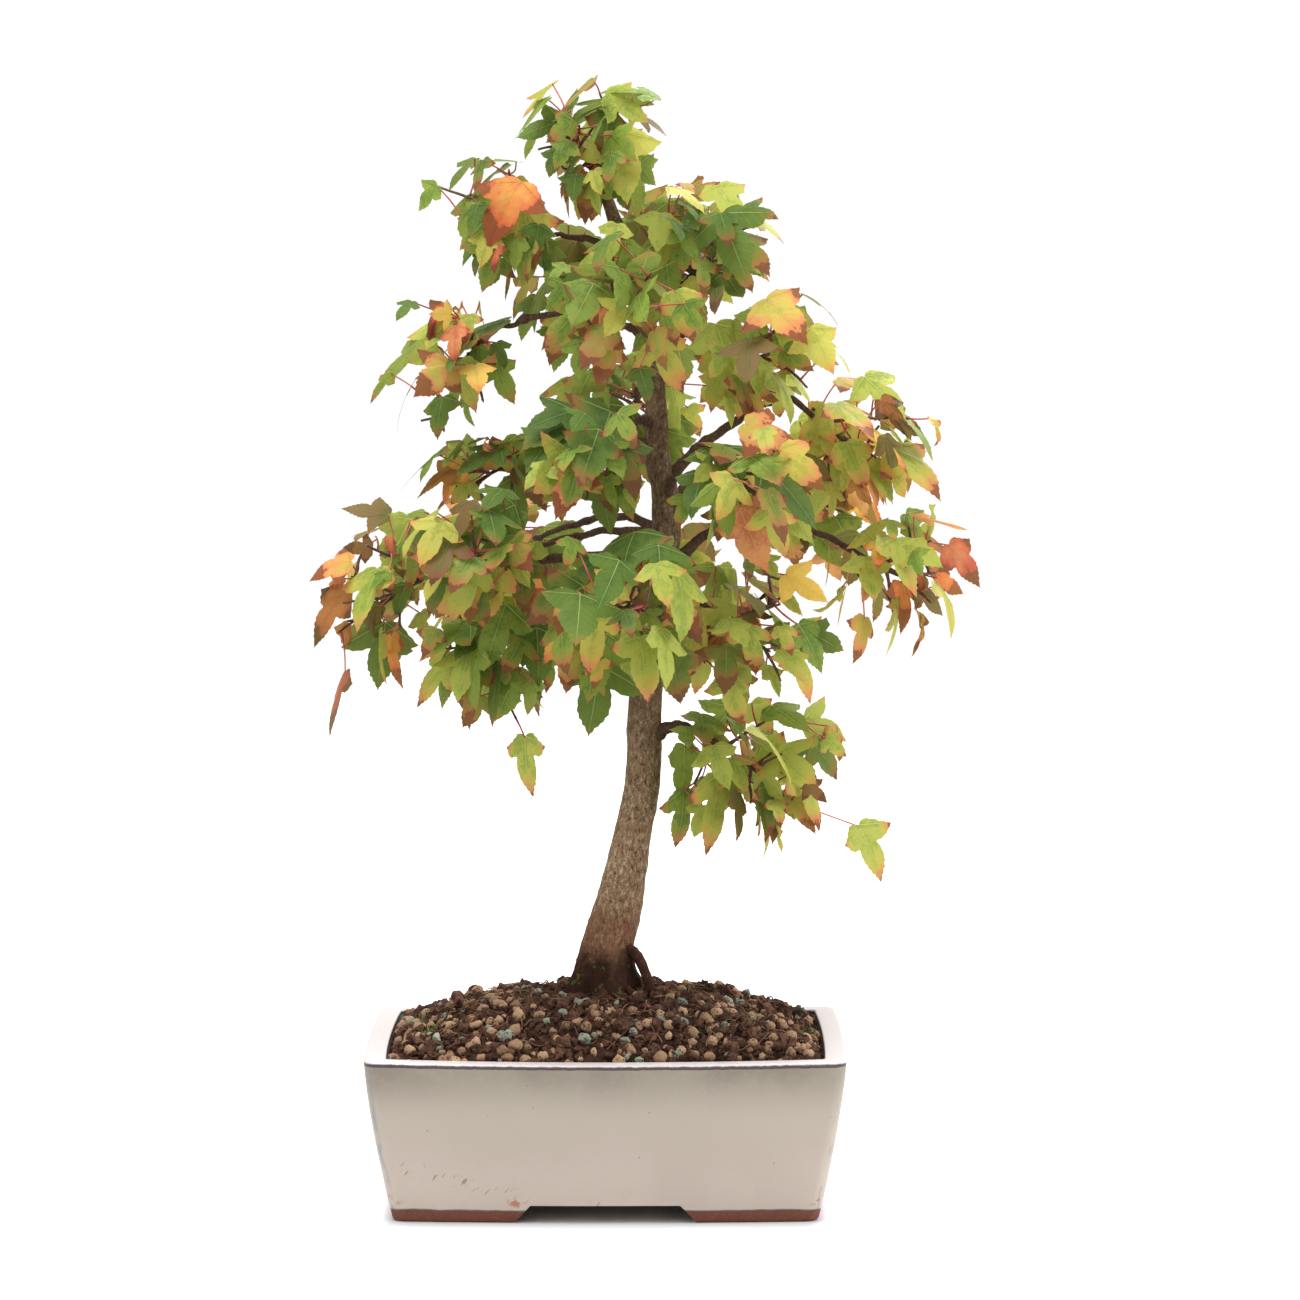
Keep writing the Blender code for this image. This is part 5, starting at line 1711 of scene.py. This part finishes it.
def potMaterial():
    material, place = newMaterial("creamGlaze", 0.25)
    x, y, z = split(place)
    x = calc("SUBTRACT", x, potMiddle.x)
    y = calc("SUBTRACT", y, potMiddle.y)
    corner, height, _ = split(mapPlace(place, "form"))
    slow = speckle(place, 18.0, 2.0)
    fine = speckle(place, 260.0, 4.0, 0.6)
    tiny = speckle(place, 1100.0, 3.0, 0.6)
    # Painted light and shade: the glaze is lighter low on the sides, where the white floor lights it, and
    # darker up towards the lip.
    colour = mixColours(rise(height, 0.1, 0.7), glaze["low"], glaze["body"])
    colour = mixColours(rise(height, 0.62, 0.99), colour, glaze["top"])
    colour = layer(colour, glaze["cloud"], rise(slow, 0.4, 0.65), 0.3)
    colour = layer(colour, glaze["cloud"], rise(fine, 0.45, 0.7), 0.14)
    ragged = times(calc("SUBTRACT", fine, 0.5), 0.016, height)
    colour = mixColours(rise(ragged, *glaze["lipRise"]), colour, glaze["lip"])
    band = times(rise(ragged, *glaze["lineRise"]), rise(ragged, *glaze["lineFall"]))
    broken = times(band, rise(slow, 0.25, 0.4))
    line = mixColours(rise(ragged, 0.987, 0.991), glaze["breakLine"], glaze["blueGrey"])
    colour = layer(colour, line, broken, 0.9)
    streak = speckle(place, 240.0, 3.0, 0.6, stretch=(1.0, 1.0, 0.12))
    blue = times(rise(corner, 0.35, 0.75), rise(streak, 0.45, 0.62))
    blue = times(blue, rise(height, 0.99, 0.95))
    colour = layer(colour, glaze["blueGrey"], blue, 0.75)
    end = times(calc("SUBTRACT", speckle(place, 60.0, 2.0), 0.5), 0.0022, z)
    endHeight = potPlan["glazeEnd"] * mm
    fired = rise(end, endHeight - 0.0001, endHeight + 0.0002)
    rim = times(rise(end, endHeight + 0.0011, endHeight + 0.0004), fired)
    colour = layer(colour, glaze["rust"], stainMask(x, z, fine), 0.75)
    colour = layer(colour, glaze["scratch"], scratchMask(x, y, z), 0.7)
    specks = rise(cells(place, 95.0), 0.045, 0.02)
    colour = layer(colour, glaze["speck"], specks, 0.75)
    colour = layer(colour, glaze["edgeLine"], rim, 0.8)
    clay = mixColours(fine, glaze["clayDark"], glaze["clay"])
    clay = layer(clay, glaze["clayPale"], rise(tiny, 0.5, 0.7), 0.35)
    plug(shaderOf(material).inputs["Roughness"], times(fired, -0.5, 0.78))
    lift = times(fired, 1.0, times(tiny, 0.12))
    return finish(material, mixColours(fired, clay, colour), times(fine, 0.12, lift), 0.35)


# Soil

soilPlan = dict(
    edge=2.5,
    top=105.0,
    topRadius=25.0,
    power=1.55,
    mounds=((56.0, 22.0, 4.0, 12.0), (-60.0, -18.0, 2.5, 16.0)),  # x, y, height, radius
    lumps=44,  # smaller ones, spread evenly
    lumpRise=(-4.0, 5.0),
    lumpRadius=9.0,
    sunk=2.1,  # how far the bed lies under the grains' mean height
    gap=0.3,
    rough=0.9,  # mm
    roughSize=7.0,
    fine=0.7,
    fineSize=2.6,
    rings=64,
    turns=300,
    inner=3.0,  # radius of the innermost ring
    overWall=0.8,  # how far the bed runs into the pot's wall
    depth=9.0,
    grainArea=(112.0, 80.0),  # half width and half depth
    grainFree=14.0,  # round the trunk
    grainApart=1.25,  # of the larger ones, as a share of their size
    wallRun=70.0,  # mm from the flat place to the wall, about
    backFrom=10.0,  # behind the middle, where fewer pellets lie
)
soilWall = potRing(potPlan["lip"] + soilPlan["gap"], potPlan["height"] - soilPlan["edge"])[:, :2]
trunkFoot = np.array(trunkPlan["stations"][0][:2])
wallAngles = np.arctan2(*(soilWall - trunkFoot).T[::-1])
wallOrder = np.argsort(wallAngles)
wallReach = np.linalg.norm(soilWall - trunkFoot, axis=1)[wallOrder]
wallAngles = wallAngles[wallOrder]


def soilLumps():
    rng = random.Random(f"{growth['seed']} soil")
    lumps = list(soilPlan["mounds"])
    for index in range(soilPlan["lumps"]):
        out = math.sqrt((index + 0.5) / soilPlan["lumps"])
        x = out * potPlan["width"] / 2 * math.cos(goldenTurn(index))
        y = out * potPlan["depth"] / 2 * math.sin(goldenTurn(index))
        lumps.append((x, y, rng.uniform(*soilPlan["lumpRise"]), soilPlan["lumpRadius"]))
    return lumps


lumpsOfSoil = soilLumps()


def wallShare(flat):  # 0 at the flat place under the trunk, 1 at the pot's wall
    away = flat - trunkFoot
    reach = np.interp(np.arctan2(away[:, 1], away[:, 0]), wallAngles, wallReach, period=2 * math.pi)
    return (np.linalg.norm(away, axis=1) - soilPlan["topRadius"]) / (reach - soilPlan["topRadius"])


def soilTop(flat):
    share = np.clip(wallShare(flat), 0.0, 1.0)
    edge = potPlan["height"] - soilPlan["edge"]
    z = edge + (soilPlan["top"] - edge) * (1.0 - share ** soilPlan["power"])
    away = np.minimum(1.0, share * 4.0) * np.minimum(1.0, (1.0 - share) * 4.0)
    for x, y, lift, radius in lumpsOfSoil:
        z += away * lift * np.exp(-((flat[:, 0] - x) ** 2 + (flat[:, 1] - y) ** 2) / radius**2)
    spots = np.column_stack((flat, np.zeros(len(flat))))
    calm = np.minimum(1.0, (1.02 - share) * 6.0)
    z += crossNoise(spots, soilPlan["roughSize"], 11.0, 2) * soilPlan["rough"] * calm
    z += crossNoise(spots, soilPlan["fineSize"], 12.0, 2) * soilPlan["fine"] * calm
    return z - soilPlan["sunk"]


def soilAt(x, y):
    return soilTop(np.array([[x, y]]))[0]


earths = dict(  # dark, light and pale
    darkEarth=((42, 28, 22), (74, 52, 42), (112, 84, 66)),
    crumbEarth=((48, 32, 26), (88, 62, 49), (148, 114, 90)),
    clodEarth=((52, 35, 28), (102, 73, 58), (152, 120, 96)),
    chipBark=((36, 28, 26), (66, 50, 42), (110, 88, 72)),
    rootFibre=((84, 58, 44), (136, 104, 80), (168, 138, 110)),
    mossGreen=((52, 66, 30), (94, 116, 50), (140, 152, 84)),
)


def earthMaterial(name, roughness=0.95, scale=420.0):
    dark, light, pale = earths[name]
    material, place = newMaterial(name, roughness, 0.08)
    coarse = speckle(place, scale * 0.35, 4.0, 0.65)
    fine = speckle(place, scale * 2.0, 4.0, 0.7)
    colour = mixColours(rise(coarse, 0.35, 0.65), dark, light)
    colour = layer(colour, pale, rise(fine, 0.55, 0.72), 0.6)
    return finish(material, colour, times(fine, 0.5, coarse), 0.8)


def pelletMaterial(name, dark, light, poreColour, poreScale):
    material, place = newMaterial(name, 0.9, 0.12)
    chance, other, _ = split(mapPlace(place, "grain"))
    mottle = speckle(place, 700.0, 3.0, 0.6)
    colour = mixColours(chance, dark, light)
    colour = layer(colour, light, rise(mottle, 0.35, 0.7), 0.5)
    pores = times(rise(cells(place, poreScale), 0.36, 0.2), rise(other, 0.1, 0.5))
    colour = layer(colour, poreColour, pores, 0.7)
    return finish(material, colour, times(pores, -1.0, mottle), 0.5)


def makeSoilBed():
    gather = Gather()
    turns = np.linspace(-math.pi, math.pi, soilPlan["turns"], endpoint=False)
    reach = np.interp(turns, wallAngles, wallReach, period=2 * math.pi)
    rings = []
    for share in np.linspace(0.0, 1.0, soilPlan["rings"]):
        out = soilPlan["inner"] + (reach + soilPlan["overWall"] - soilPlan["inner"]) * share
        rings.append(trunkFoot + np.column_stack((np.cos(turns), np.sin(turns))) * out[:, None])
    flat = np.vstack(rings)
    points = np.column_stack((flat, soilTop(flat)))
    low = potPlan["height"] - soilPlan["depth"]
    under = np.column_stack((rings[-1], np.full(len(turns), low)))
    points = np.vstack((points, under, (*trunkFoot, soilPlan["top"]), (*trunkFoot, low)))
    count, rows = len(turns), soilPlan["rings"] + 1
    bottom = fanFaces(rows * count + 1, (rows - 1) * count, count)[:, [0, 2, 1]]
    ends = np.vstack((fanFaces(rows * count, 0, count), bottom))
    gather.add(points, [ringFaces(rows, count)[:, [0, 3, 2, 1]], ends])
    piece = gather.build("soil_bed", [earthMaterial("darkEarth")])
    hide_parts("soil")


def roundStone(subdivisions):
    bm = bmesh.new()
    bmesh.ops.create_icosphere(bm, subdivisions=subdivisions, radius=1.0)
    points = np.array([vertex.co[:] for vertex in bm.verts])
    faces = np.array([[vertex.index for vertex in face.verts] for face in bm.faces])
    bm.free()
    return points, faces


grainColumns = ("name", "count", "size", "stretch", "lumps", "detail", "sink", "toWall", "toFront")
grainRows = (
    ("crumb", 4600, (0.7, 2.2), 0.45, 0.3, 1, 0.3, 0.0, 0.0),
    ("clod", 520, (1.5, 3.6), 0.4, 0.42, 2, 0.45, 0.1, 0.0),
    ("pellet", 400, (1.2, 3.3), 0.2, 0.26, 2, 0.25, 0.85, 0.3),
    ("stone", 84, (1.6, 3.4), 0.42, 0.3, 2, 0.3, 0.75, 0.3),
)
grainKinds = [dict(zip(grainColumns, row)) for row in grainRows]


def grainShape(rng, kind, shape):
    shift = Vector(rng.uniform(-50, 50, 3))
    lumps = np.array([noise.fractal(Vector(point) * 1.2 + shift, 0.8, 2.3, 2) for point in shape])
    lumps = lumps * kind["lumps"] * 1.7
    stretch = rng.uniform(1.0 - kind["stretch"], 1.0 + kind["stretch"], 3)
    angle, axis = rng.uniform(0, 6.28), Vector(rng.normal(size=3)).normalized()
    return shape * (1.0 + lumps)[:, None] * stretch @ np.array(Matrix.Rotation(angle, 3, axis)).T


def makeGrains():
    shapes = {detail: roundStone(detail) for detail in (1, 2)}
    materials = [
        earthMaterial("crumbEarth"),
        earthMaterial("clodEarth"),
        pelletMaterial("tanPellet", (106, 78, 59), (176, 143, 113), (58, 38, 30), 560.0),
        pelletMaterial("greenStone", (94, 102, 88), (146, 152, 134), (60, 62, 54), 480.0),
    ]
    area = -np.array(soilPlan["grainArea"]), np.array(soilPlan["grainArea"])
    occupied = np.empty((0, 2))
    for index, kind in enumerate(grainKinds):
        rng = np.random.default_rng(100 + index)
        gather = Gather()
        shape, faces = shapes[kind["detail"]]
        made = 0
        while made < kind["count"]:
            spot = rng.uniform(*area)[None]
            share = wallShare(spot)[0]
            size = rng.uniform(*kind["size"])
            fromTrunk = np.linalg.norm(spot[0] - trunkFoot)
            if share > 1.0 - size / soilPlan["wallRun"] or fromTrunk < soilPlan["grainFree"]:
                continue
            want = 1.0 - kind["toWall"] * (1.0 - max(share, 0.0) ** 0.7)
            want -= kind["toFront"] * (spot[0, 1] > soilPlan["backFrom"])
            if rng.random() > want:
                continue
            if kind["name"] in ("pellet", "stone"):
                if near(occupied, spot, size * soilPlan["grainApart"]):
                    continue
                occupied = np.vstack((occupied, spot))
            made += 1
            z = soilTop(spot)[0] + size * (1.0 - kind["sink"]) * 0.55
            points = grainShape(rng, kind, shape) * size + np.array((*spot[0], z))
            grain = np.tile(rng.random(2), (len(points), 1))
            gather.add(points, [faces], grain=grain)
        gather.build(f"soil_{kind['name']}s", [materials[index]], smooth=kind["name"] == "pellet")


chipPlan = dict(
    big=((-86.0, 44.0, 19.0, 6.0), (92.0, 30.0, 17.0, 5.0), (60.0, 52.0, 15.0, 5.0)),  # x, y, length, width
    count=26,
    length=(4.0, 11.0),
    area=(100, 66),  # half width and half depth
    thick=0.22,  # half of it, as a share of the width
    turns=(("X", 0.5), ("Y", 0.35), ("Z", 0.7)),  # radians at most
)
fibrePlan = dict(
    count=380,
    length=(4.0, 16.0),
    radius=(0.18, 0.4),
    stations=(-0.5, -0.17, 0.17, 0.5),  # shares of the length
    lift=(1.2, 3.6),
)


def makeChips():
    rng = np.random.default_rng(7)
    shape, faces = roundStone(2)
    gather = Gather()
    chips = list(chipPlan["big"])
    wide, deep = chipPlan["area"]
    for _ in range(chipPlan["count"]):
        length = rng.uniform(*chipPlan["length"])
        x, y = rng.uniform(-wide, wide), rng.uniform(-deep, deep)
        chips.append((x, y, length, length * rng.uniform(0.3, 0.5)))
    for x, y, length, width in chips:
        if not 0.02 < wallShare(np.array([[x, y]]))[0] < 0.95:
            continue
        boxy = np.sign(shape) * abs(shape) ** 0.55 * (length / 2, width / 2, width * chipPlan["thick"])
        shift = Vector((x, y, 0.0))
        boxy[:, 2] += np.array([noise.noise(Vector(point) * 0.4 + shift) for point in boxy]) * 0.9
        tilt, lean, spin = (
            Matrix.Rotation(rng.uniform(-most, most), 3, axis) for axis, most in chipPlan["turns"]
        )
        points = boxy @ np.array(spin @ (tilt @ lean)).T
        gather.add(points + np.array((x, y, soilAt(x, y) + width * 0.2)), [faces])
    gather.build("bark_chips", [earthMaterial("chipBark", 0.8, 500.0)])


def makeFibres():
    rng = random.Random("fibres")
    gather = Gather()
    wide, deep = chipPlan["area"]
    for _ in range(fibrePlan["count"]):
        spot = np.array([[rng.uniform(-wide, wide), rng.uniform(-deep, deep)]])
        if not 0.0 < wallShare(spot)[0] < 0.93:
            continue
        length = rng.uniform(*fibrePlan["length"])
        angle = rng.uniform(0.0, math.pi)
        way = np.array((math.cos(angle), math.sin(angle)))
        stations = []
        for share in fibrePlan["stations"]:
            flat = spot + length * share * way + rng.uniform(-1.0, 1.0)
            height = soilTop(flat)[0] + rng.uniform(*fibrePlan["lift"])
            stations.append((*flat[0], height, rng.uniform(*fibrePlan["radius"])))
        gather.addTube(smoothLine(stations, 14), 5)
    gather.build("soil_fibres", [earthMaterial("rootFibre")])


sprigPlan = dict(
    spots=((-95.0, 8.0), (101.0, -6.0), (-88.0, -30.0), (84.0, 46.0)),
    blades=16,
    blade=((0.0, 0.3), (0.6, 0.45), (1.0, 0.08)),  # share along, and radius
    length=(3.0, 7.5),
    moss=130,
    mossReach=(15.0, 27.0),
    mossSize=(0.5, 1.3),
)


def makeGreenery():
    rng = random.Random("greenery")
    gather = Gather()
    for spot in sprigPlan["spots"]:
        for _ in range(sprigPlan["blades"]):
            x, y = spot[0] + rng.uniform(-4, 4), spot[1] + rng.uniform(-3, 3)
            start = Vector((x, y, soilAt(x, y)))
            way = Vector((rng.uniform(-0.8, 0.8), rng.uniform(-0.8, 0.8), 1.0)).normalized()
            length = rng.uniform(*sprigPlan["length"])
            stations = [(*(start + way * length * share), radius) for share, radius in sprigPlan["blade"]]
            gather.addTube(smoothLine(stations, 6), 5)
    shape, faces = roundStone(1)
    for _ in range(sprigPlan["moss"]):
        angle, out = rng.uniform(0.0, 2 * math.pi), rng.uniform(*sprigPlan["mossReach"])
        flat = trunkFoot + np.array((math.cos(angle), math.sin(angle))) * out
        size = rng.uniform(*sprigPlan["mossSize"])
        z = soilTop(flat[None])[0] + size * 0.4
        gather.add(shape * size * (1.3, 1.3, 0.8) + np.array((*flat, z)), [faces])
    gather.build("moss_and_sprigs", [earthMaterial("mossGreen")])


makePot()
makeSoilBed()
makeGrains()
makeChips()
makeFibres()
makeGreenery()
makeRoots()
print("Pot, soil and roots made")
